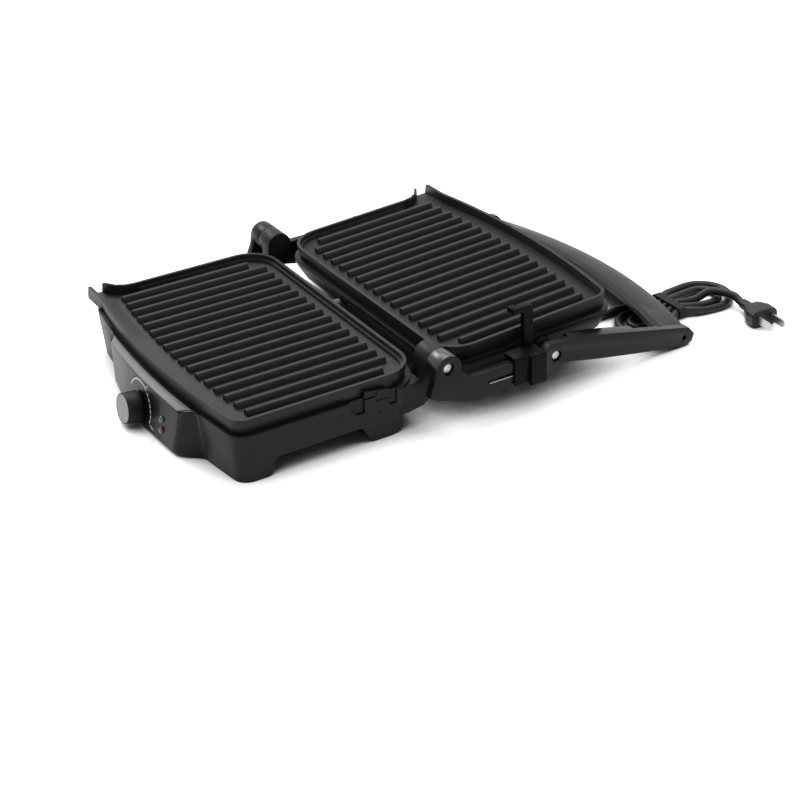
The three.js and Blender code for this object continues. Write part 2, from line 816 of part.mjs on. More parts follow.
function baseCoverGeometry() {
  const inset = wall + baseDraft + seatGap;
  return inFront(loft([
    atLevel(bowedOutline(baseShape, inset), coverBottom),
    atLevel(bowedOutline(baseShape, inset), coverBottom + coverThickness),
  ]));
}

function lidHousingGeometry() {
  const levels = [
    [lidDepth, lidCrownInset], [lidBandDepth, lidBandInset], [lidFlankDepth, lidFlankInset],
    [lipBelowRibs + ledgeDepth, 0], [lipBelowRibs, 0],
  ];
  const body = loft(levels.map(([depth, inset]) => atLevel(bowedOutline(housingShape, inset), -depth)));
  const inside = levels.slice(1, 4);
  const cavity = loft([
    atLevel(bowedOutline(housingShape, levels[0][1] + wall), -levels[0][0] + wall),
    ...inside.map(([depth, inset]) => (
      atLevel(bowedOutline(housingShape, inset + wall), -depth + (depth > levels[2][0] ? wall / 2 : 0)))),
  ]);
  const mouth = loft([
    atLevel(bowedOutline(housingShape, seatLedge), -levels[3][0] - overrun),
    atLevel(bowedOutline(housingShape, seatLedge), lipLevel + overrun),
  ]);
  const bosses = [-1, 1].map((side) => cylinderX(
    pivotBossRadius, side * (housingShape.half - catchBacking), side * (housingShape.half + lidBossProud),
    pivotRun, -pivotDrop, 24));
  const bores = [-1, 1].map((side) => cylinderX(
    pivotPinRadius + seatGap, side * (armOuter - pivotPinReach - wall), side * (armOuter), pivotRun, -pivotDrop, 16));
  const leadHole = new THREE.CylinderGeometry(leadRadius + seatGap * 2, leadRadius + seatGap * 2, overrun * 4, 16);
  leadHole.translate(leadPlace, housingShape.near, leadLevel - lidOrigin.z);
  return cut(joined([cut(body, [cavity, mouth]), ...bosses]), [...bores, leadHole]);
}

// Place of the lid while it lies open: the mirror image of the base about the hinge, less the tilt
const rise = closedRibGap - hingeAboveRibs;
const lidOrigin = new THREE.Vector3(
  0,
  ribEndToHinge * Math.cos(openTilt) + rise * Math.sin(openTilt),
  hingeHeight + ribEndToHinge * Math.sin(openTilt) - rise * Math.cos(openTilt),
);
const pivotY = lidOrigin.y + pivotRun * Math.cos(openTilt) + pivotDrop * Math.sin(openTilt);
const pivotZ = lidOrigin.z + pivotRun * Math.sin(openTilt) - pivotDrop * Math.cos(openTilt);

// Arms

// Outlines as shares of the arm's length from the hinge and of the hinge's height
const armTopShares = [[0.4701, 0.8365], [0.5726, 0.7519], [0.7479, 0.5545], [0.9744, 0.3008]];
const armFootShares = [
  [1, 0.1692], [0.9915, 0.0564], [0.9573, 0.0094], [0.9231, 0.0451], [0.7436, 0.1992], [0.5726, 0.3628],
  [0.4573, 0.4887], [0.3846, 0.4605], [0.3376, 0.3571], [0.235, 0.4135], [0.1838, 0.4135], [0.1111, 0.3778],
  [0.0585, 0.4267], [-0.0513, 0.5921], [-0.0684, 0.6391],
];
const fromShares = (shares) => shares.map(([along, up]) => [along * armEnd, up * hingeHeight]);
const armTop = fromShares(armTopShares);
const armFoot = fromShares(armFootShares);
const sliderEnd = frontLobeStart + frontLobeLength + rearLobeLength;

function armGeometry(withSlider) {
  const knuckle = cylinderX(barrelRadius, towerOuter + seatGap, armOuter, 0, hingeHeight);
  const shoulder = armTopAtSaddle + armShoulder;
  const meet = armSplayStart + overrun;
  const footAtMeet = armBottomAtFront - saddleThickness / 2;
  const frontFoot = armFoot.filter(([y]) => y < armSplayStart);
  const neck = [
    [-barrelRadius * 1.4, hingeHeight - barrelRadius * 1.25], [-barrelRadius * 1.1, hingeHeight - barrelRadius * 0.6],
    [-barrelRadius, hingeHeight], [barrelRadius * 0.9, hingeHeight - barrelRadius * 0.3],
    [barrelRadius * 1.7, armTopAtSaddle + seatGap * 3], [barrelRadius * 2, armTopAtSaddle],
    [sliderEnd + 1, armTopAtSaddle], [meet, armTopAtSaddle + seatGap * 4], [meet, footAtMeet],
  ];
  const front = alongX([...neck, ...frontFoot], armInner, armOuter);
  const rearFoot = armFoot.filter(([y]) => y > armSplayStart);
  const rearTop = [
    [armSplayStart, armTopAtSaddle - seatGap], [sliderEnd + 1, armTopAtSaddle],
    [sliderEnd + armThickness, shoulder], ...armTop];
  const rear = alongX([...rearTop, ...rearFoot, [armSplayStart, footAtMeet]], armInner, armOuter);
  const flangeTop = armTop.slice(0, -1);
  const under = flangeTop.map(([y, z]) => [y, z - armFlange]).reverse();
  const flange = alongX([...flangeTop, ...under], armInner - flangeWidth, armInner + wall);
  const splay = new THREE.Matrix4().set(
    1, -armSplay, 0, armSplay * armSplayStart,
    0, 1, 0, 0,
    0, 0, 1, 0,
    0, 0, 0, 1,
  );
  rear.applyMatrix4(splay);
  flange.applyMatrix4(splay);
  const boss = cylinderX(
    pivotBossRadius, housingShape.half + lidBossProud + seatGap, armInner + wall, pivotY, pivotZ, 24);
  const body = joined([knuckle, front, rear, flange, boss]);
  const endFace = armOuter - armSplay * (endHolePlace - armSplayStart);
  const tools = [
    cylinderX(screwRecessRadius, armOuter - screwRecessDepth, armOuter + overrun, 0, hingeHeight, 24),
    cylinderX(hingePinRadius + seatGap, towerOuter - overrun, armOuter, 0, hingeHeight, 20),
    cylinderX(pivotRecessRadius, armOuter - screwRecessDepth, armOuter + overrun, pivotY, pivotZ, 24),
    cylinderX(pivotPinRadius + seatGap, towerInner, armOuter, pivotY, pivotZ, 16),
    cylinderX(endHoleRadius, endFace - armThickness / 2, endFace + overrun, endHolePlace, endHoleLevel, 16),
  ];
  if (withSlider) {
    const low = slotLevel - slotHeight / 2;
    const high = slotLevel + slotHeight / 2;
    tools.push(alongX([
      [slotStart, low], [slotEnd, low], [slotEnd, high], [slotStart, high],
    ], armInner - overrun, armOuter + overrun));
  }
  return cut(body, tools);
}

function screwX(headRadius, headHeight, pinRadius, headFace, pinEnd, y, z) {
  const neck = headFace - headHeight;
  return joined([
    cylinderX(headRadius, neck, headFace, y, z, 24),
    cylinderX(pinRadius, pinEnd, neck + headHeight / 2, y, z, 16),
  ]);
}

const hingeScrewGeometry = () => screwX(
  screwHeadRadius, screwHeadHeight, hingePinRadius,
  armOuter - screwRecessDepth + seatGap + screwHeadHeight, armOuter - hingePinReach, 0, hingeHeight);
const pivotScrewGeometry = () => screwX(
  pivotHeadRadius, screwHeadHeight, pivotPinRadius,
  armOuter - screwRecessDepth + seatGap + screwHeadHeight, armOuter - pivotPinReach, pivotY, pivotZ);

// Handle bar between the arms, bowed away from the hinge
const armInnerAt = (y) => armInner - armSplay * (y - armSplayStart);
const handleOuterReach = handleInnerReach + handleDepth;

function handleBarGeometry() {
  const reach = armInnerAt(handleOuterReach);
  const steps = 20;
  return loft(Array.from({ length: steps + 1 }, (_, i) => {
    const share = (2 * i) / steps - 1;
    const inner = handleInnerReach - handleInnerBow * share * share;
    const outer = handleOuterReach - handleOuterBow * share * share;
    const drop = handleUnderside * (1 - share ** 8 * 0.4);
    const r = handleRound;
    const section = [
      [inner, handleInnerTop], [inner + r, handleInnerTop + r / 8], [outer - r, handleOuterTop + r / 5],
      [outer, handleOuterTop - r / 5], [outer - r / 6, drop], [outer - handleDepth * 0.42, drop],
      [inner + r * 0.6, handleInnerTop - handleThickness], [inner, handleInnerTop - handleThickness + r / 5],
    ];
    return section.map(([y, z]) => {
      const limit = armInnerAt(y) - seatGap;
      return [share * (Math.abs(share) < 1 ? Math.min(reach, limit) : limit), y, z];
    });
  }));
}

// Height slider: a saddle over the right arm with a hooked finger beside the lid
function sliderGeometry() {
  const bridgeBottom = armTopAtSaddle + seatGap;
  const bridgeTop = bridgeBottom + saddleThickness;
  const skirtInner = armInner - seatGap;
  const skirtOuter = armOuter + seatGap;
  const innerFoot = slotLevel + railHeight / 2 + seatGap * 2;
  const fingerOuter = fingerInner + fingerThickness;
  const round = saddleThickness / 3;
  const section = (proud, foot) => [
    [fingerOuter, innerFoot], [skirtInner, innerFoot], [skirtInner, bridgeBottom],
    [skirtOuter, bridgeBottom], [skirtOuter, foot + round * 2], [skirtOuter + proud * 0.6, foot],
    [skirtOuter + proud, foot + round], [skirtOuter + proud, bridgeTop - round],
    [skirtOuter + proud - round, bridgeTop], [fingerOuter, bridgeTop],
  ];
  const pushed = (outline, from, to) => loft([from, to].map((y) => outline.map(([x, z]) => [x, y, z])));
  const middle = frontLobeStart + frontLobeLength;
  const fingerStart = fingerPlace - fingerWidth / 2;
  const fingerEnd = fingerPlace + fingerWidth / 2;
  const finger = alongX([
    [fingerStart, innerFoot], [fingerEnd, innerFoot], [fingerEnd, fingerTop - round],
    [fingerEnd - round, fingerTop], [hookPlaceOpen - hookWidth / 2 + round, fingerTop],
    [hookPlaceOpen - hookWidth / 2, fingerTop - round], [hookPlaceOpen - hookWidth / 2, fingerTop - hookDepth],
    [fingerStart - round, fingerTop - hookDepth], [fingerStart, fingerTop - hookDepth - round],
  ], fingerInner, fingerOuter + seatGap);
  const hook = alongX([
    [hookPlaceOpen - hookWidth / 2, fingerTop - hookDepth], [hookPlaceOpen + hookWidth / 2, fingerTop - hookDepth],
    [hookPlaceOpen + hookWidth / 2, fingerTop - round], [hookPlaceOpen - hookWidth / 2, fingerTop - round],
  ], hookInner, fingerInner + seatGap);
  const tab = cylinderX(tabRadius, armInner + 1, skirtOuter + frontLobeProud / 2, tabPlace, slotLevel, 12);
  return joined([
    pushed(section(frontLobeProud, lobeBottom + round), frontLobeStart, middle + seatGap),
    pushed(section(rearLobeProud, lobeBottom - round), middle, middle + rearLobeLength),
    finger, hook, tab,
  ]);
}

// Knob, turned about its own axis
function lathed(profile, segments = 40) {
  return new THREE.LatheGeometry(profile.map(([r, h]) => new THREE.Vector2(r, h)), segments);
}

function knobGeometry() {
  const cap = knobCapThickness;
  return onFascia(lathed([
    [0, -shaftReach], [shaftRadius, -shaftReach], [shaftRadius, 1], [knobBaseRadius - 1, 1],
    [knobBaseRadius, 2], [knobTopRadius, knobLength - knobEdge], [knobTopRadius - knobEdge / 4, knobLength],
    [knobCapRadius + seatGap, knobLength], [knobCapRadius + seatGap, knobLength - cap],
    [0, knobLength - cap],
  ]), knobPlace, knobHeight);
}

const knobCapGeometry = () => onFascia(lathed([
  [0, knobLength - knobCapThickness + seatGap], [knobCapRadius, knobLength - knobCapThickness + seatGap],
  [knobCapRadius, knobLength - seatGap / 2], [0, knobLength + seatGap / 2],
]), knobPlace, knobHeight);

const lampGeometry = (z) => onFascia(lathed([
  [0, -lampLength + lampProud], [lampRadius, -lampLength + lampProud], [lampRadius, lampProud / 2],
  [lampRadius * 0.7, lampProud], [0, lampProud * 1.2],
], 20), lampPlace, z);

function thermostatGeometry() {
  const face = -podWall - seatGap * 3;
  const body = new THREE.BoxGeometry(thermostatWidth, thermostatDepth, thermostatHeight);
  body.translate(0, face - thermostatDepth / 2, 0);
  const bore = new THREE.CylinderGeometry(
    shaftRadius + seatGap, shaftRadius + seatGap, (shaftReach + face + seatGap) * 2, 16);
  bore.translate(0, face, 0);
  return onFascia(cut(body, [bore]), knobPlace, knobHeight);
}

function terminalBlockGeometry() {
  const block = new THREE.BoxGeometry(terminalWidth, terminalDepth, terminalHeight);
  const level = coverBottom + coverThickness + seatGap + terminalHeight / 2;
  const middle = -baseShape.near - wall * 3 - terminalDepth / 2;
  block.translate(cordPlace - terminalWidth / 2, middle, level);
  const screws = [-1, 0, 1].map((i) => {
    const hole = new THREE.CylinderGeometry(tabRadius * 1.5, tabRadius * 1.5, terminalHeight, 12);
    hole.rotateX(Math.PI / 2);
    hole.translate(
      cordPlace - terminalWidth / 2 + (i * terminalWidth) / 3.4, middle, level + terminalHeight * 0.7);
    return hole;
  });
  return cut(block, screws);
}

// Cord

const reliefStart = -baseShape.near;
const reliefPoint = (along) => new THREE.Vector3(
  cordPlace,
  reliefStart + along * Math.cos(cordExitSlope),
  cordExitLevel - along * Math.sin(cordExitSlope),
);

function reliefGeometry() {
  const profile = [
    [0, -wall * 2], [reliefNeck, -wall * 2], [reliefNeck, reliefFlange],
    [reliefRadius, reliefFlange], [reliefRadius, reliefFlange + wall], [reliefRadius * 0.8, reliefFlange + wall], [cordRadius * 1.25, reliefLength], [0, reliefLength],
  ];
  const piece = lathed(profile, 20);
  piece.rotateX(-cordExitSlope);
  const at = reliefPoint(0);
  piece.translate(at.x, at.y, at.z);
  return piece;
}

// The free length from the strain relief to the bundle, a route laid by hand
const cordRoute = [
  [60, 14.8, 10.8], [60, 20, 7.8], [60, 26, 5.2], [60.1, 34, 3.6], [60.6, 46, 3.3], [62, 75, 3.3], [63.6, 105, 3.3],
  [65.2, 135, 3.3], [66.4, 160, 3.3], [67.1, 180, 3.3],
];

function tubeGeometry(points, steps, sides) {
  const path = new THREE.CatmullRomCurve3(points.map((p) => new THREE.Vector3(...p)), false, 'centripetal');
  const circle = new THREE.Shape();
  circle.absarc(0, 0, cordRadius, 0, 2 * Math.PI);
  return new THREE.ExtrudeGeometry(circle, {
    steps, curveSegments: sides, bevelEnabled: false, extrudePath: path,
  });
}

// The bundle: the cord runs to and fro through its tie, one loop inside the other
const cordLevel = cordRadius + 0.1;
const waistLevel = cordRadius + tieWall + seatGap + 0.1;
const humpLevel = cordLevel + hankPitch;
const ease = (t) => smooth(Math.min(Math.max(t, 0), 1));
const hankLevel = (y) => (
  waistLevel - (waistLevel - cordLevel) * ease((Math.abs(y - hankWaist) - tieWidth / 2) / (hankReach * 0.6)));
const farSpread = farFold - foldPitch;
const nearSpread = nearFold * 2 - foldPitch;
const pitchAt = (y) => (
  hankPitch + (foldPitch - hankPitch) * ease((Math.abs(y - hankWaist) - tieWidth / 2) / (tieWidth * 1.6)));
const farTurn = hankWaist + hankReach;
const nearTurn = hankWaist - nearReach;
const farShare = (y) => ease((y - hankWaist - tieWidth / 2) / (hankReach - tieWidth / 2));
const nearShare = (y) => ease((hankWaist - tieWidth * 0.8 - y) / (nearReach - tieWidth * 0.8));

function strand(from, to, place) {
  const count = Math.max(4, Math.round(Math.abs(to - from) / (cordRadius * 2.5)));
  return Array.from({ length: count }, (_, i) => {
    const y = from + ((to - from) * i) / count;
    return [hankX + place(y), y, hankLevel(y)];
  });
}

function fold(centreX, y, radius, direction) {
  return Array.from({ length: foldSteps }, (_, i) => {
    const turn = (i / foldSteps) * Math.PI;
    return [
      hankX + centreX - direction * radius * Math.cos(turn), y + direction * radius * Math.sin(turn),
      cordLevel];
  });
}

const leftStrand = (order) => (y) => -pitchAt(y) * order - farSpread * farShare(y);
const rightStrand = (order) => (y) => (
  pitchAt(y) * order + farSpread * farShare(y) + nearSpread * nearShare(y));
const outerFar = farFold + foldPitch;
const outerNear = nearFold + foldPitch;

function tailPoints() {
  const count = 12;
  const sweep = (100 * degree);
  return Array.from({ length: count + 1 }, (_, i) => {
    const turn = (sweep * i) / count;
    const x = tailTurn * (1 - Math.cos(turn));
    const up = ease(x / (tailTurn / 4));
    const down = ease((x - tailTurn * 0.8) / (tailTurn * 0.3));
    const z = cordLevel + (humpLevel - cordLevel) * up - (humpLevel - plugLevel) * down;
    return [hankX + x, tailStart + tailTurn * Math.sin(turn), z];
  });
}

const hankPoints = () => [
  ...strand(cordRoute.at(-1)[1] + seatGap, farTurn, leftStrand(2)),
  ...fold(0, farTurn, outerFar, 1),
  ...strand(farTurn, nearTurn, rightStrand(2)),
  ...fold(nearFold, nearTurn, outerNear, -1),
  ...strand(nearTurn, farTurn, leftStrand(1)),
  ...fold(0, farTurn, farFold, 1),
  ...strand(farTurn, nearTurn, rightStrand(1)),
  ...fold(nearFold, nearTurn, nearFold, -1),
  ...strand(nearTurn, tailStart, leftStrand(0)),
  ...tailPoints(),
];

function tieGeometry() {
  const half = hankPitch * 2 + cordRadius + seatGap * 1.5;
  const ring = (grow, y) => {
    const r = cordRadius + seatGap * 1.5 + grow;
    const side = half - (cordRadius + seatGap * 1.5);
    return [
      ...arcPoints(side, 0, r, -quarter, quarter, 6), ...arcPoints(-side, 0, r, quarter, 3 * quarter, 6),
    ].map(([x, z]) => [hankX + x, y, waistLevel + z]);
  };
  const from = hankWaist - tieWidth / 2;
  const to = hankWaist + tieWidth / 2;
  return cut(loft([ring(tieWall - seatGap * 1.5, from), ring(tieWall - seatGap * 1.5, to)]), [
    loft([ring(0, from - overrun), ring(0, to + overrun)]),
  ]);
}

// Plug, drawn along +Y from the end of the cord
function plugBodyGeometry() {
  const section = (along, width, thickness) => {
    const r = thickness * 0.35;
    const w = width / 2 - r;
    const h = thickness / 2 - r;
    return [
      ...arcPoints(w, -h, r, -quarter, 0, 3), ...arcPoints(w, h, r, 0, quarter, 3),
      ...arcPoints(-w, h, r, quarter, 2 * quarter, 3), ...arcPoints(-w, -h, r, 2 * quarter, 3 * quarter, 3),
    ].map(([x, z]) => [x, along, z]);
  };
  const neck = (cordRadius + plugNeckWall) * 2;
  return loft([
    section(0, neck - plugNeckWall, neck - plugNeckWall), section(plugLength * 0.35, neck, neck),
    section(plugLength * 0.45, plugWidth * 0.7, plugThickness * 0.9),
    section(plugLength * 0.7, plugWidth, plugThickness), section(plugLength, plugWidth, plugThickness),
  ]);
}

function bladeGeometry(side) {
  const half = bladeThickness / 2;
  const x = (side * bladeSpacing) / 2;
  const section = (along, height) => [
    [x - half, along, -height], [x + half, along, -height], [x + half, along, height], [x - half, along, height],
  ];
  const start = plugLength + seatGap;
  return loft([
    section(start, bladeWidth / 2), section(start + bladeLength - bladeTip, bladeWidth / 2),
    section(start + bladeLength, bladeWidth / 2 - bladeTip * 0.6),
  ]);
}

// The least gap between stretches of the bundle that are more than a fold apart
function bundleGap(points, steps) {
  const path = new THREE.CatmullRomCurve3(points.map((p) => new THREE.Vector3(...p)), false, 'centripetal');
  const samples = path.getSpacedPoints(steps * 3);
  const spacing = path.getLength() / (steps * 3);
  const apart = Math.ceil((nearFold * 2.5) / spacing);
  let least = Infinity;
  samples.forEach((p, i) => {
    for (let j = i + apart; j < samples.length; j += 1) least = Math.min(least, p.distanceTo(samples[j]));
  });
  return { gap: least - cordRadius * 2, length: path.getLength() };
}

// Finishes
const finishes = {
  housing: [0x26282b, 0.5, 0],
  panel: [0x232528, 0.4, 0],
  coating: [0x3a3b3c, 0.62, 0.1],
  strip: [0x7d8188, 0.35, 0.7],
  steel: [0xb9bcc0, 0.3, 1],
  dull: [0x8e9093, 0.5, 1],
  cap: [0x8b8d8f, 0.35, 0.6],
  cord: [0x17181a, 0.6, 0],
  foot: [0x151515, 0.9, 0],
  green: [0x1d7a4a, 0.25, 0],
  red: [0x9c2226, 0.25, 0],
  inner: [0x4a3b2c, 0.6, 0],
  sleeve: [0xd8d4c8, 0.8, 0],
};

const machine = new THREE.Group();

function place(parent, name, finish, geometry) {
  const [color, roughness, metalness] = finishes[finish];
  const mesh = new THREE.Mesh(geometry, new THREE.MeshStandardMaterial({ color, roughness, metalness }));
  mesh.name = name;
  parent.add(mesh);
  return mesh;
}

const lid = new THREE.Group();
lid.position.copy(lidOrigin);
lid.rotation.x = openTilt;
machine.add(lid);

const base = new THREE.Group();
machine.add(base);

// Base
place(base, 'base_housing', 'housing', baseHousingGeometry());
place(base, 'base_cover', 'housing', baseCoverGeometry());
place(base, 'front_panel', 'panel', frontPanelGeometry());
place(base, 'trim_strip', 'strip', trimStripGeometry());
place(base, 'thermostat', 'inner', thermostatGeometry());
place(base, 'terminal_block', 'sleeve', terminalBlockGeometry());
place(base, 'green_lamp', 'green', lampGeometry(greenLampHeight));
place(base, 'red_lamp', 'red', lampGeometry(redLampHeight));

const lowerFrame = (geometry) => {
  const turned = mirroredAcross('y', geometry);
  turned.translate(0, -ribEndToHinge, ribTopHeight);
  return turned;
};
const elementLevel = plateUnderside - elementRadius - seatGap;
const panLevel = elementLevel - elementRadius - seatGap * 2 - panThickness;
place(base, 'lower_plate', 'coating', lowerFrame(plateGeometry()));
place(base, 'lower_element', 'steel', lowerFrame(elementGeometry(elementLevel)));
place(base, 'lower_reflector', 'dull', lowerFrame(panGeometry(panLevel)));

padPlaces.forEach(([x, v], i) => {
  const pad = lathed([
    [0, 0], [padRadius - seatGap, 0], [padRadius, seatGap], [padRadius, padHeight], [0, padHeight],
  ], 20);
  pad.rotateX(Math.PI / 2);
  pad.translate(x, -v, 0);
  place(base, `foot_pad_${i + 1}`, 'foot', pad);
});

const lead = new THREE.CylinderGeometry(
  leadRadius, leadRadius, lidOrigin.y + housingShape.near + baseShape.near - seatGap * 4, 12);
lead.translate(leadPlace, (lidOrigin.y + housingShape.near - baseShape.near) / 2, leadLevel);
place(base, 'lead_sleeve', 'sleeve', lead);

// Knob
place(base, 'knob', 'housing', knobGeometry());
place(base, 'knob_cap', 'cap', knobCapGeometry());

// Lid
place(lid, 'lid_housing', 'housing', lidHousingGeometry());
place(lid, 'upper_plate', 'coating', plateGeometry());
place(lid, 'upper_element', 'steel', elementGeometry(elementLevel));
place(lid, 'upper_reflector', 'dull', panGeometry(panLevel));

// Arms and handle
for (const [label, side] of [['right', 1], ['left', -1]]) {
  const mirror = (geometry) => (side > 0 ? geometry : mirroredAcross('x', geometry));
  place(machine, `${label}_arm`, 'housing', mirror(armGeometry(side > 0)));
  place(machine, `hinge_screw_${label}`, 'steel', mirror(hingeScrewGeometry()));
  place(machine, `lid_pivot_${label}`, 'steel', mirror(pivotScrewGeometry()));
}
place(machine, 'handle_bar', 'housing', handleBarGeometry());
place(machine, 'height_slider', 'housing', sliderGeometry());

const rail = new THREE.BoxGeometry(railThickness, slotEnd - slotStart + overrun, railHeight);
rail.translate(armInner - seatGap - railThickness / 2, (slotStart + slotEnd) / 2, slotLevel);
place(machine, 'guide_rail', 'steel', rail);

// Mains cord
place(machine, 'strain_relief', 'cord', reliefGeometry());
place(machine, 'cord', 'cord', tubeGeometry(cordRoute, 14, 4));
const hankSteps = 110;
const bundle = bundleGap(hankPoints(), hankSteps);
console.log(`bundle: ${bundle.length.toFixed(0)} mm of cord, least gap ${bundle.gap.toFixed(2)} mm`);
place(machine, 'cord_hank', 'cord', tubeGeometry(hankPoints(), hankSteps, 3));
place(machine, 'cord_tie', 'foot', tieGeometry());

const tailEnd = hankPoints().slice(-2).map((p) => new THREE.Vector3(...p));
const heading = Math.atan2(tailEnd[1].y - tailEnd[0].y, tailEnd[1].x - tailEnd[0].x) - Math.PI / 2;
const plug = new THREE.Group();
plug.position.set(tailEnd[1].x - Math.sin(heading) * seatGap, tailEnd[1].y + Math.cos(heading) * seatGap, plugLevel);
plug.rotation.z = heading;
machine.add(plug);
place(plug, 'plug_body', 'cord', plugBodyGeometry());
place(plug, 'plug_blade_1', 'steel', bladeGeometry(-1));
place(plug, 'plug_blade_2', 'steel', bladeGeometry(1));

// The origin is the middle of the footprint, without the cord
const free = new Set(['cord', 'cord_hank', 'cord_tie', 'plug_body', 'plug_blade_1', 'plug_blade_2', 'strain_relief']);
machine.updateMatrixWorld(true);
const footprint = new THREE.Box3();
machine.traverse((piece) => {
  if (piece.isMesh && !free.has(piece.name)) footprint.expandByObject(piece, true);
});
const centre = footprint.getCenter(new THREE.Vector3());
console.log('footprint', footprint.min.toArray(), footprint.max.toArray());
machine.position.set(-centre.x, -centre.y, -footprint.min.z);

const group = new THREE.Group();
group.add(machine);

export default group;
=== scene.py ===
"""Looks of the contact grill: an open plate press with two ribbed cast plates, side arms and a handle bar."""

import json
import math

import bmesh
import bpy
from mathutils import Matrix, Vector
from mathutils.bvhtree import BVHTree

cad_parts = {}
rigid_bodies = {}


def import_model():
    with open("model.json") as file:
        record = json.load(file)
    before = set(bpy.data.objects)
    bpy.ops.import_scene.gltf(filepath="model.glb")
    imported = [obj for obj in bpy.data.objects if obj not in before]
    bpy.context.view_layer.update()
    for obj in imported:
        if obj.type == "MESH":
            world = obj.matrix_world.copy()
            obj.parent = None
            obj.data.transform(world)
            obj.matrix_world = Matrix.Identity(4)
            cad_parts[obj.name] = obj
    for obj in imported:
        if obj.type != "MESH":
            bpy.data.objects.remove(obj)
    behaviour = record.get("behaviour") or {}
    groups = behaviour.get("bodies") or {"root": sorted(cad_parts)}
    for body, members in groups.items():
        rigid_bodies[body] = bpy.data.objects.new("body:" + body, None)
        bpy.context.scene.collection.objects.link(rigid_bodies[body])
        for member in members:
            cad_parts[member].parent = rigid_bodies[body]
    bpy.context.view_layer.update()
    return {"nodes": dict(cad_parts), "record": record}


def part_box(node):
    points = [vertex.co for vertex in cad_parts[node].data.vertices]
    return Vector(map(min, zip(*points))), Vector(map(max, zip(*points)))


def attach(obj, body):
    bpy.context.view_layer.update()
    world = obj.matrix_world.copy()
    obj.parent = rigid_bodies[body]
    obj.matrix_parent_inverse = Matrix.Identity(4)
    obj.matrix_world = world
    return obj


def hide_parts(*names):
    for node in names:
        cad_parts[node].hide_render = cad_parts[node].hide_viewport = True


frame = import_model()

# Sizes in metres

mm = 0.001
tilt = math.radians(3.26)
rib_to_hinge = 23.5 * mm
rib_top = 49 * mm
closed_gap = 7 * mm

# The hinge line and the middle of the grill, from the frame
screw_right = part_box("hinge_screw_right")
screw_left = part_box("hinge_screw_left")
middle_x = (screw_right[1].x + screw_left[0].x) / 2
hinge = (screw_right[0] + screw_right[1]) / 2
hinge.x = middle_x


def from_hinge(x, y, z):
    """A place given in millimetres from the hinge line along Y and from the counter in Z."""
    return Vector((hinge.x + x * mm, hinge.y + y * mm, z * mm))


lid_rise = closed_gap - (hinge.z - rib_top)
lower_place = Matrix.Translation((hinge.x, hinge.y - rib_to_hinge, rib_top)) @ Matrix.Scale(-1, 4, (0, 1, 0))
lid_origin = Vector((
    hinge.x,
    hinge.y + rib_to_hinge * math.cos(tilt) + lid_rise * math.sin(tilt),
    hinge.z + rib_to_hinge * math.sin(tilt) - lid_rise * math.cos(tilt),
))
upper_place = Matrix.Translation(lid_origin) @ Matrix.Rotation(tilt, 4, "X")


# Camera

def make_camera():
    """The photograph's viewing place, angle and frame."""
    azimuth, elevation, roll = math.radians(59.99), math.radians(27.49), math.radians(-2.23)
    back = Vector((
        math.sin(azimuth) * math.cos(elevation), -math.cos(azimuth) * math.cos(elevation), math.sin(elevation)))
    level = Vector((0, 0, 1)).cross(back).normalized()
    up = back.cross(level)
    right = level * math.cos(roll) + up * math.sin(roll)
    top = up * math.cos(roll) - level * math.sin(roll)
    data = bpy.data.cameras.new("camera")
    data.sensor_width = 36
    image_width = 800
    focal_pixels = 1738.7
    principal = (394, 336)
    data.lens = data.sensor_width * focal_pixels / image_width
    data.shift_x = (image_width / 2 - principal[0]) / image_width
    data.shift_y = (principal[1] - image_width / 2) / image_width
    data.clip_start, data.clip_end = 0.05, 20
    camera = bpy.data.objects.new("camera", data)
    place = from_hinge(1067.81, -576.73, 647.34)
    camera.matrix_world = Matrix((
        (right.x, top.x, back.x, place.x),
        (right.y, top.y, back.y, place.y),
        (right.z, top.z, back.z, place.z),
        (0, 0, 0, 1),
    ))
    bpy.context.collection.objects.link(camera)
    bpy.context.scene.camera = camera


make_camera()


# Node maths for the materials and the repeated shapes

class Wire:
    """An output socket of a node, which can be reckoned with."""

    def __init__(self, graph, socket):
        self.graph = graph
        self.socket = socket

    def math(self, operation, *values):
        return self.graph.node("ShaderNodeMath", {"operation": operation}, {i: v for i, v in enumerate(values)})

    def __add__(self, other):
        return self.math("ADD", self, other)

    def __radd__(self, other):
        return self.math("ADD", other, self)

    def __sub__(self, other):
        return self.math("SUBTRACT", self, other)

    def __rsub__(self, other):
        return self.math("SUBTRACT", other, self)

    def __mul__(self, other):
        return self.math("MULTIPLY", self, other)

    def __rmul__(self, other):
        return self.math("MULTIPLY", other, self)

    def __truediv__(self, other):
        return self.math("DIVIDE", self, other)

    def __rtruediv__(self, other):
        return self.math("DIVIDE", other, self)

    def __pow__(self, other):
        return self.math("POWER", self, other)

    def __abs__(self):
        return self.math("ABSOLUTE", self)

    def above(self, other):
        return self.math("GREATER_THAN", self, other)

    def least(self, other):
        return self.math("MINIMUM", self, other)

    def sine(self):
        return self.math("SINE", self)

    def cosine(self):
        return self.math("COSINE", self)

    def side(self):
        return self.math("SIGN", self)


class Graph:
    """Nodes and links, made by one method."""

    def __init__(self, nodes, links):
        self.nodes = nodes
        self.links = links

    def node(self, kind, settings=None, values=None, output=0):
        made = self.nodes.new(kind)
        for key, value in (settings or {}).items():
            if key == "stops":
                for element, (place, color) in zip(made.color_ramp.elements, value):
                    element.position, element.color = place, color
            else:
                setattr(made, key, value)
        for key, value in (values or {}).items():
            if isinstance(value, Wire):
                self.links.new(value.socket, made.inputs[key])
            else:
                made.inputs[key].default_value = value
        return Wire(self, made.outputs[output])


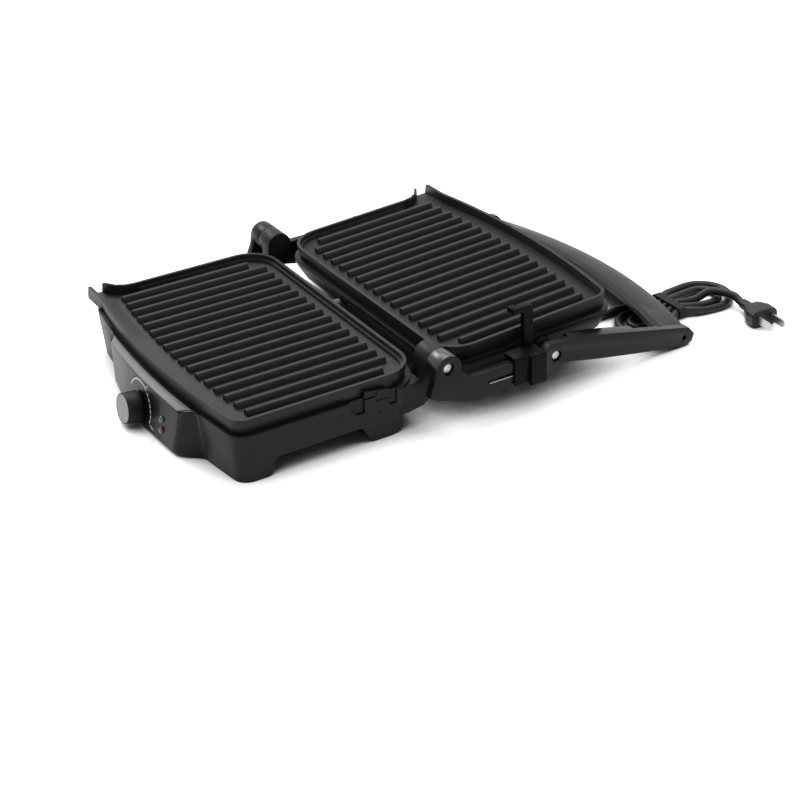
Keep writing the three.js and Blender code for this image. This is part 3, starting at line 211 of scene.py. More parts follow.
class Finish(Graph):
    """A material on the principled shader."""

    def __init__(self, name, color, roughness, metallic=0.0, specular=0.5, coat=0.0):
        self.material = bpy.data.materials.new(name)
        self.material.use_nodes = True
        super().__init__(self.material.node_tree.nodes, self.material.node_tree.links)
        self.surface = self.nodes["Principled BSDF"]
        self.set("Base Color", (*color, 1))
        self.set("Roughness", roughness)
        self.set("Metallic", metallic)
        self.set("Specular IOR Level", specular)
        self.set("Coat Weight", coat)

    def set(self, name, value):
        socket = self.surface.inputs[name]
        if isinstance(value, Wire):
            self.links.new(value.socket, socket)
        else:
            socket.default_value = value

    def place(self):
        return self.node("ShaderNodeTexCoord", output="Object")

    def noise(self, scale, detail=3.0, roughness=0.5):
        values = {"Vector": self.place(), "Scale": scale, "Detail": detail, "Roughness": roughness}
        return self.node("ShaderNodeTexNoise", None, values, output="Fac")

    def grain(self, scale, height, detail=2.0, strength=1.0):
        """A fine relief over the whole surface."""
        relief = self.noise(scale, detail)
        values = {"Height": relief, "Distance": height, "Strength": strength}
        self.set("Normal", self.node("ShaderNodeBump", None, values, output="Normal"))

    def mottle(self, color, other, scale, low=0.35, high=0.65):
        """Two colours in soft patches."""
        share = self.node("ShaderNodeMapRange", None, {
            "Value": self.noise(scale), "From Min": low, "From Max": high})
        mixed = self.node("ShaderNodeMix", {"data_type": "RGBA"}, {
            0: share, 6: (*color, 1), 7: (*other, 1)}, output=2)
        self.set("Base Color", mixed)


class Growth(Graph):
    """A tree that grows a repeated shape from named sizes."""

    def __init__(self, name, **sizes):
        self.tree = bpy.data.node_groups.new(name, "GeometryNodeTree")
        super().__init__(self.tree.nodes, self.tree.links)
        sockets = self.tree.interface
        sockets.new_socket("Geometry", in_out="INPUT", socket_type="NodeSocketGeometry")
        sockets.new_socket("Geometry", in_out="OUTPUT", socket_type="NodeSocketGeometry")
        self.identifiers = {}
        for size, value in sizes.items():
            kind = "NodeSocketInt" if isinstance(value, int) else "NodeSocketFloat"
            socket = sockets.new_socket(size.replace("_", " ").capitalize(), in_out="INPUT", socket_type=kind)
            socket.default_value = value
            self.identifiers[size] = socket.identifier
        self.entry = self.nodes.new("NodeGroupInput")
        self.exit = self.nodes.new("NodeGroupOutput")

    def __getitem__(self, size):
        return Wire(self, self.entry.outputs[list(self.identifiers).index(size) + 1])

    def vector(self, x=0.0, y=0.0, z=0.0):
        return self.node("ShaderNodeCombineXYZ", None, {0: x, 1: y, 2: z})

    def close(self, geometry, slot):
        plain = self.node("GeometryNodeRealizeInstances", None, {"Geometry": geometry})
        painted = self.node("GeometryNodeSetMaterial", None, {"Geometry": plain, "Material": finishes[slot]})
        self.links.new(painted.socket, self.exit.inputs["Geometry"])

    def grow(self, **sizes):
        """The grown shape as a bmesh."""
        seed = bpy.data.objects.new(self.tree.name, bpy.data.meshes.new(self.tree.name))
        bpy.context.collection.objects.link(seed)
        modifier = seed.modifiers.new("growth", "NODES")
        modifier.node_group = self.tree
        for size, value in sizes.items():
            modifier[self.identifiers[size]] = value
        graph = bpy.context.evaluated_depsgraph_get()
        graph.update()
        mesh = bpy.data.meshes.new_from_object(seed.evaluated_get(graph))
        seed.modifiers.clear()
        bpy.data.objects.remove(seed)
        shape = bmesh.new()
        shape.from_mesh(mesh)
        bpy.data.meshes.remove(mesh)
        return shape


def grey(level):
    return (level, level, level)


def moulded_black():
    finish = Finish("moulded black", (0.0082, 0.0089, 0.0102), 0.42, specular=0.17)
    finish.set("Roughness", finish.noise(60) * 0.12 + 0.36)
    finish.grain(2600, 0.02 * mm, strength=0.3)
    return finish.material


knuckle_radius = 14 * mm


def arm_black():
    """Satin plastic, with a painted highlight: a glossy coat only on the round of the right arm's hinge end, where the
    light catches it.
    """
    finish = Finish("arm black", (0.0062, 0.0066, 0.0072), 0.3, specular=0.15)
    finish.set("Coat Roughness", 0.28)
    facing = finish.node("ShaderNodeSeparateXYZ", None, {0: finish.node("ShaderNodeTexCoord", output="Normal")})
    across, along, up = (finish.node("ShaderNodeSeparateXYZ", None, {0: finish.place()}, output=i) for i in range(3))
    reach = (along - hinge.y) ** 2 + (up - hinge.z) ** 2
    # Painted highlight: the coat covers only the round of the right arm's hinge end, not the left one and not the flat
    # faces.
    knuckle_painted_highlight = (1 - reach.above(knuckle_radius ** 2)) * across.above(hinge.x) * (1 - abs(facing).above(0.5))
    finish.set("Coat Weight", knuckle_painted_highlight * 0.9)
    finish.set("Roughness", finish.noise(45) * 0.1 + 0.26)
    finish.grain(3000, 0.012 * mm, strength=0.2)
    return finish.material


def slider_black():
    finish = Finish("slider black", (0.0038, 0.0041, 0.0047), 0.38, specular=0.06)
    finish.set("Roughness", finish.noise(45) * 0.1 + 0.33)
    finish.grain(3000, 0.012 * mm, strength=0.2)
    return finish.material


def panel_black():
    finish = Finish("panel black", (0.0042, 0.005, 0.0064), 0.3, specular=0.15)
    finish.grain(3200, 0.01 * mm, strength=0.2)
    return finish.material


def plate_coating():
    finish = Finish("plate coating", (0.014, 0.014, 0.0145), 0.5, specular=0.22)
    finish.mottle((0.013, 0.013, 0.0137), (0.0165, 0.0165, 0.0172), 900, 0.45, 0.6)
    finish.set("Roughness", finish.noise(220) * 0.1 + 0.42)
    finish.grain(1700, 0.03 * mm, strength=0.35)
    return finish.material


def strip_paint():
    finish = Finish("trim strip paint", (0.185, 0.191, 0.212), 0.42, specular=0.3)
    finish.grain(4200, 0.008 * mm, strength=0.3)
    return finish.material


def plain_steel():
    finish = Finish("plain steel", (0.46, 0.46, 0.47), 0.32, metallic=1.0)
    finish.grain(1800, 0.01 * mm, strength=0.25)
    return finish.material


def slot_steel():
    finish = Finish("slot steel", (0.26, 0.26, 0.265), 0.42, metallic=1.0)
    finish.grain(1800, 0.01 * mm, strength=0.25)
    return finish.material


def rolled_sheet():
    finish = Finish("rolled sheet", (0.45, 0.45, 0.46), 0.45, metallic=1.0)
    finish.grain(900, 0.02 * mm, strength=0.3)
    return finish.material


def cap_grey():
    finish = Finish("knob cap grey", (0.385, 0.385, 0.39), 0.42, specular=0.35)
    finish.grain(3000, 0.01 * mm, strength=0.3)
    return finish.material


def lead_rubber():
    finish = Finish("lead rubber", (0.008, 0.008, 0.0085), 0.42, specular=0.3)
    finish.grain(1500, 0.02 * mm, strength=0.35)
    return finish.material


def foot_rubber():
    finish = Finish("foot rubber", (0.012, 0.012, 0.012), 0.7, specular=0.25)
    finish.grain(1200, 0.04 * mm, strength=0.5)
    return finish.material


def lens(name, color):
    finish = Finish(name, color, 0.16, coat=0.5)
    finish.set("Emission Color", (*color, 1))
    finish.set("Emission Strength", 0.06)
    return finish.material


def print_white():
    finish = Finish("printed white", grey(0.8), 0.5)
    finish.set("Roughness", finish.noise(400) * 0.1 + 0.45)
    return finish.material


def mark_and_shade_black():
    # Near-black for the printed mark on the knob's cap, and also painted shade for the catch's hole.
    finish = Finish("cap mark", grey(0.002), 0.5, specular=0.1)
    finish.set("Roughness", finish.noise(400) * 0.1 + 0.6)
    return finish.material


def brown_phenolic():
    finish = Finish("brown phenolic", (0.1, 0.06, 0.032), 0.5)
    finish.grain(1600, 0.02 * mm, strength=0.4)
    return finish.material


def woven_sleeve():
    finish = Finish("woven sleeve", (0.30, 0.28, 0.23), 0.75)
    finish.mottle((0.34, 0.32, 0.26), (0.2, 0.19, 0.16), 1300, 0.4, 0.6)
    finish.grain(1400, 0.12 * mm, strength=0.8)
    return finish.material


finishes = {
    "housing": moulded_black(),
    "arm": arm_black(),
    "slider": slider_black(),
    "panel": panel_black(),
    "coating": plate_coating(),
    "strip": strip_paint(),
    "steel": plain_steel(),
    "edge": slot_steel(),
    "dull": rolled_sheet(),
    "cap": cap_grey(),
    "cord": lead_rubber(),
    "foot": foot_rubber(),
    "green": lens("green lens", (0.012, 0.12, 0.075)),
    "red": lens("red lens", (0.22, 0.012, 0.02)),
    "inner": brown_phenolic(),
    "sleeve": woven_sleeve(),
    "print": print_white(),
    # mark: the cap's printed mark, and painted shade for the catch's hole
    "mark": mark_and_shade_black(),
}
node_slot = {entry["node"]: entry["material_slot"] for entry in frame["record"]["subparts"]}


# Making pieces

def new_piece(name, shape, slot, body, stands_for=(), smooth=35):
    """A piece from a bmesh that is already in its place, riding on a body."""
    mesh = bpy.data.meshes.new(name)
    shape.to_mesh(mesh)
    shape.free()
    piece = bpy.data.objects.new(name, mesh)
    bpy.context.collection.objects.link(piece)
    return dressed(piece, slot, body, stands_for, smooth)


def dressed(piece, slot, body, stands_for=(), smooth=35):
    piece.data.materials.clear()
    piece.data.materials.append(finishes[slot])
    piece.data.polygons.foreach_set("use_smooth", [True] * len(piece.data.polygons))
    piece.data.set_sharp_from_angle(angle=math.radians(smooth))
    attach(piece, body)
    if stands_for:
        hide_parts(*stands_for)
    return piece


def applied(piece):
    """The piece with its modifiers made part of its mesh."""
    graph = bpy.context.evaluated_depsgraph_get()
    graph.update()
    mesh = bpy.data.meshes.new_from_object(piece.evaluated_get(graph))
    piece.modifiers.clear()
    piece.data = mesh
    return piece


def rounded(piece, width, segments=3, angle=28):
    """Rounds the piece's edges."""
    piece.data.polygons.foreach_set("use_smooth", [True] * len(piece.data.polygons))
    edge = piece.modifiers.new("edges", "BEVEL")
    edge.width = width
    edge.segments = segments
    edge.limit_method = "ANGLE"
    edge.angle_limit = math.radians(angle)
    edge.harden_normals = True
    edge.use_clamp_overlap = True
    return applied(piece)


def softened(node, width, segments=3, angle=28, smooth=40, slot=None, reshape=None):
    """A copy of a CAD node with its edges rounded, which stands for the node."""
    source = frame["nodes"][node]
    shape = bmesh.new()
    shape.from_mesh(source.data)
    bmesh.ops.remove_doubles(shape, verts=shape.verts, dist=1e-6)
    if reshape:
        reshape(shape)
    bmesh.ops.dissolve_limit(
        shape, angle_limit=math.radians(0.6), verts=shape.verts, edges=shape.edges, use_dissolve_boundaries=False)
    mesh = bpy.data.meshes.new(node)
    shape.to_mesh(mesh)
    shape.free()
    piece = bpy.data.objects.new(f"{node}_soft", mesh)
    bpy.context.collection.objects.link(piece)
    rounded(piece, width, segments, angle)
    body = source.parent.name.split(":")[-1]
    return dressed(piece, slot or node_slot[node], body, [node], smooth)


def loft(rings, caps=True):
    """A skin over rings of points, closed by a face at each end."""
    shape = bmesh.new()
    rows = [[shape.verts.new(point) for point in ring] for ring in rings]
    count = len(rings[0])
    for low, high in zip(rows, rows[1:]):
        for i in range(count):
            j = (i + 1) % count
            shape.faces.new((low[i], low[j], high[j], high[i]))
    if caps:
        shape.faces.new(rows[0][::-1])
        shape.faces.new(rows[-1])
    bmesh.ops.recalc_face_normals(shape, faces=shape.faces)
    return shape


def turned(profile, segments=64):
    """A shape of revolution about Z from (radius, height) points, the first and last on the axis."""
    shape = bmesh.new()
    previous = None
    for radius, height in profile:
        if radius < 1e-7:
            ring = [shape.verts.new((0, 0, height))]
        else:
            ring = [
                shape.verts.new((
                    radius * math.cos(2 * math.pi * i / segments), radius * math.sin(2 * math.pi * i / segments),
                    height))
                for i in range(segments)
            ]
        if previous:
            for i in range(segments):
                corners = [
                    previous[i % len(previous)], previous[(i + 1) % len(previous)],
                    ring[(i + 1) % len(ring)], ring[i % len(ring)],
                ]
                shape.faces.new(list(dict.fromkeys(corners)))
        previous = ring
    bmesh.ops.recalc_face_normals(shape, faces=shape.faces)
    return shape


def joined(shapes):
    """Several bmeshes as one."""
    whole = bmesh.new()
    for shape in shapes:
        mesh = bpy.data.meshes.new("part")
        shape.to_mesh(mesh)
        shape.free()
        whole.from_mesh(mesh)
        bpy.data.meshes.remove(mesh)
    return whole


def placed(shape, matrix):
    bmesh.ops.transform(shape, matrix=matrix, verts=shape.verts)
    if matrix.to_3x3().determinant() < 0:
        bmesh.ops.reverse_faces(shape, faces=shape.faces)
    return shape


# Mains cord, on the route that the solids follow

cord_radius = 3.2 * mm
cord_route = [
    (60, 14.8, 10.8), (60, 20, 7.8), (60, 26, 5.2), (60.1, 34, 3.6), (60.6, 46, 3.3), (62, 75, 3.3),
    (63.6, 105, 3.3), (65.2, 135, 3.3), (66.4, 160, 3.3), (67.1, 180, 3.3),
]
hank_x = 81
hank_waist = 254
hank_pitch = 7.2
fold_pitch = 9.6
hank_reach = 35
near_reach = 35
far_fold = 13
near_fold = 10
fold_steps = 10
tail_turn = 30
tail_start = 272
tie_width = 7
tie_wall = 1.5
plug_level = 7.7
cord_mm = cord_radius / mm
cord_level = cord_mm + 0.1
waist_level = cord_mm + tie_wall + 0.4
hump_level = cord_level + hank_pitch


def ease(t):
    t = min(max(t, 0), 1)
    return t * t * (3 - 2 * t)


def hank_route():
    """The bundle: the cord runs to and fro through its tie, one loop inside the other."""
    half_tie = tie_width / 2
    far_turn = hank_waist + hank_reach
    near_turn = hank_waist - near_reach
    far_spread = far_fold - fold_pitch
    near_spread = near_fold * 2 - fold_pitch

    def level(y):
        away = (abs(y - hank_waist) - half_tie) / (hank_reach * 0.6)
        return waist_level - (waist_level - cord_level) * ease(away)

    def pitch(y):
        return hank_pitch + (fold_pitch - hank_pitch) * ease((abs(y - hank_waist) - half_tie) / (tie_width * 1.6))

    def far_share(y):
        return ease((y - hank_waist - half_tie) / (hank_reach - half_tie))

    def near_share(y):
        return ease((hank_waist - tie_width * 0.8 - y) / (near_reach - tie_width * 0.8))

    def strand(start, end, side, order):
        count = max(4, round(abs(end - start) / (cord_mm * 2.5)))
        points = []
        for i in range(count):
            y = start + (end - start) * i / count
            across = side * (pitch(y) * order + far_spread * far_share(y))
            if side > 0:
                across += near_spread * near_share(y)
            points.append((hank_x + across, y, level(y)))
        return points

    def fold(centre, y, radius, direction):
        turns = [math.pi * i / fold_steps for i in range(fold_steps)]
        return [
            (hank_x + centre - direction * radius * math.cos(t), y + direction * radius * math.sin(t), cord_level)
            for t in turns
        ]

    def tail():
        points = []
        for i in range(13):
            turn = math.radians(100) * i / 12
            x = tail_turn * (1 - math.cos(turn))
            up = ease(x / (tail_turn / 4))
            down = ease((x - tail_turn * 0.8) / (tail_turn * 0.3))
            z = cord_level + (hump_level - cord_level) * up - (hump_level - plug_level) * down
            points.append((hank_x + x, tail_start + tail_turn * math.sin(turn), z))
        return points

    start = cord_route[-1][1] + 0.3
    straight = strand(near_turn, tail_start, 1, 0)
    return (
        strand(start, far_turn, -1, 2) + fold(0, far_turn, far_fold + fold_pitch, 1)
        + strand(far_turn, near_turn, 1, 2) + fold(near_fold, near_turn, near_fold + fold_pitch, -1)
        + strand(near_turn, far_turn, -1, 1) + fold(0, far_turn, far_fold, 1)
        + strand(far_turn, near_turn, 1, 1) + fold(near_fold, near_turn, near_fold, -1)
        + [(hank_x, y, z) for _, y, z in straight] + tail()
    )


def smoothed(points, spacing):
    """Points along a smooth curve through the given ones, a spacing apart."""
    points = [Vector(p) for p in points]
    line = [points[0] * 2 - points[1], *points, points[-1] * 2 - points[-2]]
    fine = []
    for a, b, c, d in zip(line, line[1:], line[2:], line[3:]):
        for i in range(8):
            t = i / 8
            fine.append(0.5 * (
                2 * b + (c - a) * t + (2 * a - 5 * b + 4 * c - d) * t ** 2 + (3 * b - a - 3 * c + d) * t ** 3))
    fine.append(points[-1])
    even = [fine[0]]
    gone = 0.0
    for a, b in zip(fine, fine[1:]):
        gone += (b - a).length
        if gone >= spacing:
            even.append(b)
            gone = 0.0
    if (even[-1] - fine[-1]).length < spacing / 2:
        even.pop()
    return [*even, fine[-1]]


def line_length(points):
    return sum((b - a).length for a, b in zip(points, points[1:]))


def tube(points, radius, sides=20):
    """A closed round tube along points, without twist."""
    across = (points[1] - points[0]).cross(Vector((0, 0, 1))).normalized()
    rings = []
    for i, point in enumerate(points):
        ahead = points[min(i + 1, len(points) - 1)] - points[max(i - 1, 0)]
        ahead.normalize()
        across = (across - ahead * across.dot(ahead)).normalized()
        over = ahead.cross(across)
        rings.append([
            point + (across * math.cos(2 * math.pi * k / sides) + over * math.sin(2 * math.pi * k / sides)) * radius
            for k in range(sides)
        ])
    return loft(rings)


def make_cord():
    """The whole lead, from the strain relief to the plug, as one tube."""
    route = [*cord_route[:-1], *hank_route()]
    points = smoothed([from_hinge(*p) for p in route], 2.5 * mm)
    lead = new_piece("mains_cord", tube(points, cord_radius), "cord", "base", ["cord", "cord_hank"], smooth=60)
    return lead, points


cord, cord_points = make_cord()
line_length(cord_points)


# Cast plates: the casting is smoothed, and its ribs are grown from their rule

rib_count = 17
rib_pitch = 13.5 * mm
rib_length = 122.5 * mm
rib_bow = 7 * mm
rib_height = 4.5 * mm
rib_foot = 7.2 * mm
rib_taper = 0.5
rib_setback = 10 * mm
rib_arch = 5.0
rib_sink = 0.3 * mm
rib_end_slope = 2.4 * mm
rib_reach = (rib_count - 1) * rib_pitch / 2


def rib_end(x):
    return rib_length + rib_bow * (1 - (x / rib_reach) ** 2)


def rib_tree():
    """Ribs side by side, each an arch that runs from its near end to the bow of the far ends."""
    tree = Growth(
        "plate ribs", count=rib_count, pitch=rib_pitch, length=rib_length, bow=rib_bow, height=rib_height,
        foot=rib_foot, setback=rib_setback, end_round=0.9 * mm, end_share=0.16, arch=rib_arch, taper=rib_taper)
    stations = 10
    last = stations / 2 - 1
    reach = tree["pitch"] * (tree["count"] - 1) * 0.5
    row = tree.node("GeometryNodeMeshLine", {"mode": "OFFSET"}, {
        "Count": tree["count"], "Start Location": tree.vector(x=reach * -1.0), "Offset": tree.vector(x=tree["pitch"])})
    line = tree.node("GeometryNodeCurvePrimitiveLine", None, {"Start": (0, 0, 0), "End": (0, 1, 0)})
    line = tree.node("GeometryNodeResampleCurve", {"mode": "COUNT"}, {"Curve": line, "Count": stations})
    lines = tree.node("GeometryNodeInstanceOnPoints", None, {"Points": row, "Instance": line})
    lines = tree.node("GeometryNodeRealizeInstances", None, {"Geometry": lines})
    index = tree.node("GeometryNodeSplineParameter", output="Index")
    place = tree.node("GeometryNodeInputPosition")
    across = tree.node("ShaderNodeSeparateXYZ", None, {0: place})
    share = abs(across / reach)
    turn = index.least(stations - 1 - index) * (math.pi / 2 / last)
    run = tree["end_round"] * (1 - turn.cosine())
    near = share.above(0.99) * tree["setback"] + run
    far = tree["length"] + tree["bow"] * (1 - share * share) - run
    is_far = index.above(last + 0.5)
    along = near + is_far * (far - near)
    lines = tree.node("GeometryNodeSetPosition", None, {"Geometry": lines, "Position": tree.vector(across, along)})
    size = 1 - tree["end_share"] * (1 - turn.sine())
    lines = tree.node("GeometryNodeSetCurveRadius", None, {"Curve": lines, "Radius": size})
    lines = tree.node("GeometryNodeSetCurveNormal", {"mode": "Z_UP"}, {"Curve": lines})
    arch = tree.node("GeometryNodeCurvePrimitiveLine", None, {"Start": (0, 0, 0), "End": (1, 0, 0)})
    arch = tree.node("GeometryNodeResampleCurve", {"mode": "COUNT"}, {"Curve": arch, "Count": 31})
    angle = tree.node("GeometryNodeSplineParameter", output="Factor") * math.pi
    power = 2.0 / tree["arch"]
    side = angle.cosine()
    share = abs(angle.sine()) ** power
    width = side.side() * abs(side) ** power * tree["foot"] * 0.5 * (1 - tree["taper"] * share)
    rise = rib_sink - share * (tree["height"] + rib_sink)
    arch = tree.node("GeometryNodeSetPosition", None, {"Geometry": arch, "Position": tree.vector(width, rise)})
    arch = tree.node("GeometryNodeSetSplineCyclic", None, {"Geometry": arch, "Cyclic": True})
    ribs = tree.node("GeometryNodeCurveToMesh", None, {"Curve": lines, "Profile Curve": arch, "Fill Caps": True})
    tree.close(ribs, "coating")
    return tree


ribs = rib_tree()


def cast_plate(node, place):
    """A plate whose own ribs are levelled with the floor, with the grown ribs on it."""
    source = frame["nodes"][node]
    shape = bmesh.new()
    shape.from_mesh(source.data)
    bmesh.ops.transform(shape, matrix=place.inverted(), verts=shape.verts)
    bmesh.ops.remove_doubles(shape, verts=shape.verts, dist=2e-6)
    inner = rib_reach + rib_foot / 2 + 1 * mm
    for vert in shape.verts:
        x, y, z = vert.co
        if abs(x) < inner and -1 * mm < y < rib_end(min(abs(x), rib_reach)) + 1 * mm and z > -rib_height + 0.1 * mm:
            vert.co.z = -rib_height
    bmesh.ops.dissolve_limit(
        shape, angle_limit=math.radians(0.6), verts=shape.verts, edges=shape.edges, use_dissolve_boundaries=False)
    bmesh.ops.transform(shape, matrix=place, verts=shape.verts)
    mesh = bpy.data.meshes.new(node)
    shape.to_mesh(mesh)
    shape.free()
    piece = bpy.data.objects.new(f"{node}_casting", mesh)
    bpy.context.collection.objects.link(piece)
    rounded(piece, 0.7 * mm, 3, 28)
    grown = ribs.grow(length=rib_length - rib_end_slope)
    bmesh.ops.translate(grown, vec=(0, 0, -rib_height), verts=grown.verts)
    placed(grown, place)
    bmesh.ops.recalc_face_normals(grown, faces=grown.faces)
    grown.from_mesh(piece.data)
    grown.to_mesh(piece.data)
    grown.free()
    return dressed(piece, "coating", source.parent.name.split(":")[-1], [node], 40)


cast_plate("lower_plate", lower_place)
cast_plate("upper_plate", upper_place)


# Moulded pieces

# Corners at the bottom of the legs, from the hinge line and the counter, and where a fuller round puts them
leg_corners = (
    ((-134.8, 0.8), (-137.0, 0.8)), ((-133.5, 1.8), (-134.2, 2.4)), ((-132.6, 3.8), (-132.4, 5.6)),
    ((-52.9, 0.8), (-51.0, 0.8)), ((-54.2, 1.8), (-55.5, 4.3)),
    ((-29.7, 0.8), (-31.8, 0.8)), ((-28.0, 1.8), (-28.0, 2.3)), ((-26.0, 3.8), (-25.8, 5.6)),
)


def fuller_legs(shape):
    for vert in shape.verts:
        if abs(vert.co.x - hinge.x) < 95 * mm or vert.co.z > 6 * mm:
            continue
        for (y, z), (new_y, new_z) in leg_corners:
            if abs(vert.co.y - hinge.y - y * mm) < 0.3 * mm and abs(vert.co.z - z * mm) < 0.3 * mm:
                vert.co.y, vert.co.z = hinge.y + new_y * mm, new_z * mm
                break


base_shell = softened("base_housing", 1.2 * mm, reshape=fuller_legs)
softened("lid_housing", 1.2 * mm, smooth=50)
front_panel = softened("front_panel", 0.8 * mm, smooth=50)
softened("trim_strip", 0.3 * mm)
softened("right_arm", 1.4 * mm, slot="arm")
softened("left_arm", 1.4 * mm, slot="arm")
softened("handle_bar", 1.8 * mm, smooth=60)
softened("height_slider", 0.7 * mm, slot="slider")
softened("knob", 0.6 * mm)


# Screws with a cross recess, grown on the flat heads of their pins

def screw_tree():
    tree = Growth("screw heads", segments=40, radius=3.5 * mm, dome=1.1 * mm, slot_width=0.9 * mm, slot_reach=2.3 * mm)
    ball = tree.node("GeometryNodeMeshUVSphere", None, {"Segments": tree["segments"], "Rings": 24, "Radius": 1.0})
    dome = tree.node("GeometryNodeTransform", None, {
        "Geometry": ball, "Scale": tree.vector(tree["radius"], tree["radius"], tree["dome"])})
    long = tree["slot_reach"] * 2.0
    deep = tree["dome"] * 1.5
    bars = [tree.vector(long, tree["slot_width"], deep), tree.vector(tree["slot_width"], long, deep)]
    for bar in bars:
        cutter = tree.node("GeometryNodeMeshCube", None, {"Size": bar})
        cutter = tree.node("GeometryNodeTransform", None, {
            "Geometry": cutter, "Translation": tree.vector(z=tree["dome"] * 1.1)})
        dome = tree.node("GeometryNodeMeshBoolean", {"operation": "DIFFERENCE", "solver": "EXACT"}, {
            "Mesh 1": dome, "Mesh 2": cutter})
    tree.close(dome, "steel")
    return tree


screws = screw_tree()


def screw_face(node, side):
    """The middle of a screw's head, on its outer side."""
    low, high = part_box(node)
    middle = (low + high) / 2
    middle.x = high.x if side > 0 else low.x
    return middle


screw_radii = {"hinge_screw": 3.55, "lid_pivot": 3.25}

for node, radius in screw_radii.items():
    for name, side in (("right", 1), ("left", -1)):
        middle = screw_face(f"{node}_{name}", side)
        head = screws.grow(radius=radius * mm, slot_reach=radius * 0.62 * mm)
        turn = Matrix.Rotation(side * math.pi / 2, 4, "Y") @ Matrix.Rotation(math.radians(20 + 25 * side), 4, "Z")
        placed(head, Matrix.Translation(middle) @ turn)
        new_piece(f"{node}_{name}_head", head, "steel", frame["nodes"][f"{node}_{name}"].parent.name.split(":")[-1])


# Steel edge in the slot of the right arm, under the tab of the slider

slot_outer = 145.9 * mm
slot_edge_depth = 2.6 * mm
slot_near, slot_far = 34.6, 67.9
slot_floor = 30.32
slot_edge_height = 0.88


def slot_edge():
    outer = hinge.x + slot_outer
    low = from_hinge(0, slot_near, slot_floor)
    high = from_hinge(0, slot_far, slot_floor + slot_edge_height)
    shape = bmesh.new()
    bmesh.ops.create_cube(shape, size=1)
    for vert in shape.verts:
        vert.co.x = outer if vert.co.x > 0 else outer - slot_edge_depth
        vert.co.y = high.y if vert.co.y > 0 else low.y
        vert.co.z = high.z if vert.co.z > 0 else low.z
    return new_piece("slot_edge", shape, "edge", "arms")


slot_edge()


# Print and lenses on the front panel

knob_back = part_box("knob")[1].y
cap_low, cap_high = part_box("knob_cap")
knob_middle = (cap_low + cap_high) / 2
dial_middle = Vector((knob_middle.x, knob_back, 14 * mm))
print_thickness = 0.06 * mm
print_lift = 0.04 * mm
ray_reach = 30 * mm
fascia_lean = math.radians(7.9)
fascia_up = Vector((0, math.sin(fascia_lean), math.cos(fascia_lean)))
fascia_out = Vector((0, -math.cos(fascia_lean), math.sin(fascia_lean)))
fascia_turn = Matrix((
    (1, 0, 0, 0), (0, fascia_up.y, fascia_out.y, 0), (0, fascia_up.z, fascia_out.z, 0), (0, 0, 0, 1)))


def dial_tree():
    """Dashes of an arc, one after another round the dial."""
    tree = Growth(
        "dial dashes", count=6, radius=19.8 * mm, start=math.radians(-20), step=math.radians(12.4),
        sweep=math.radians(9.0), width=1.25 * mm, height=print_thickness)
    dots = tree.node("GeometryNodeMeshLine", {"mode": "OFFSET"}, {"Count": tree["count"], "Offset": (0, 0, 0)})
    dash = tree.node("GeometryNodeCurveArc", None, {
        "Resolution": 12, "Radius": tree["radius"], "Start Angle": 0.0, "Sweep Angle": tree["sweep"]})
    edge = tree.node("GeometryNodeCurvePrimitiveQuadrilateral", None, {
        "Width": tree["width"], "Height": tree["height"]})
    dash = tree.node("GeometryNodeSetCurveNormal", {"mode": "Z_UP"}, {"Curve": dash})
    dash = tree.node("GeometryNodeCurveToMesh", None, {"Curve": dash, "Profile Curve": edge, "Fill Caps": True})
    turn = tree.node("GeometryNodeInputIndex") * tree["step"] + tree["start"]
    dashes = tree.node("GeometryNodeInstanceOnPoints", None, {
        "Points": dots, "Instance": dash, "Rotation": tree.vector(z=turn)})
    tree.close(dashes, "print")
    return tree


def skin_of(piece):
    shape = bmesh.new()
    shape.from_mesh(piece.data)
    tree = BVHTree.FromBMesh(shape)
    shape.free()
    return tree


panel_skin = skin_of(front_panel)


def printed(shape, middle):
    """Lays a flat shape on the front panel round a middle."""
    placed(shape, fascia_turn)
    for vert in shape.verts:
        height = vert.co.dot(fascia_out)
        start = middle + vert.co + fascia_out * ray_reach
        hit, _, _, _ = panel_skin.ray_cast(start, -fascia_out)
        vert.co = hit + fascia_out * (height + print_lift) if hit else start - fascia_out * ray_reach
    bmesh.ops.recalc_face_normals(shape, faces=shape.faces)
    return shape


def bar_mark(length, width, radius, angle, turn):
    """A short bar beside the dial, as a flat box."""
    shape = bmesh.new()
    bmesh.ops.create_cube(shape, size=1)
    bmesh.ops.scale(shape, vec=(length, width, print_thickness), verts=shape.verts)
    bmesh.ops.subdivide_edges(shape, edges=shape.edges, cuts=3, use_grid_fill=True)
    place = Matrix.Rotation(angle, 4, "Z") @ Matrix.Translation((radius, 0, 0)) @ Matrix.Rotation(turn, 4, "Z")
    return placed(shape, place)


dial = dial_tree()
arcs = [
    dial.grow(count=1, start=math.radians(57), sweep=math.radians(93), width=1.5 * mm),
    dial.grow(),
    bar_mark(3.0 * mm, 2.0 * mm, 24.3 * mm, math.radians(60), math.radians(20)),
    bar_mark(5.6 * mm, 1.1 * mm, 23.6 * mm, math.radians(-21), math.radians(8)),
]
new_piece("dial_print", joined([printed(arc, dial_middle) for arc in arcs]), "print", "base")


def lamp_lens(node, slot):
    """A domed lens over a lamp."""
    low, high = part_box(node)
    radius = (high.x - low.x) / 2
    face = Vector(((low.x + high.x) / 2, low.y, high.z - radius * math.cos(fascia_lean))) + fascia_out * -0.5 * mm
    profile = [
        (0, -0.4 * mm), (radius, -0.4 * mm), (radius, 0.1 * mm), (radius * 0.94, 0.5 * mm), (radius * 0.8, 0.95 * mm),
        (radius * 0.55, 1.35 * mm), (radius * 0.28, 1.55 * mm), (0, 1.62 * mm),
    ]
    shape = placed(turned(profile, 32), fascia_turn)
    bmesh.ops.translate(shape, vec=face, verts=shape.verts)
    return new_piece(f"{node}_lens", shape, slot, "base")


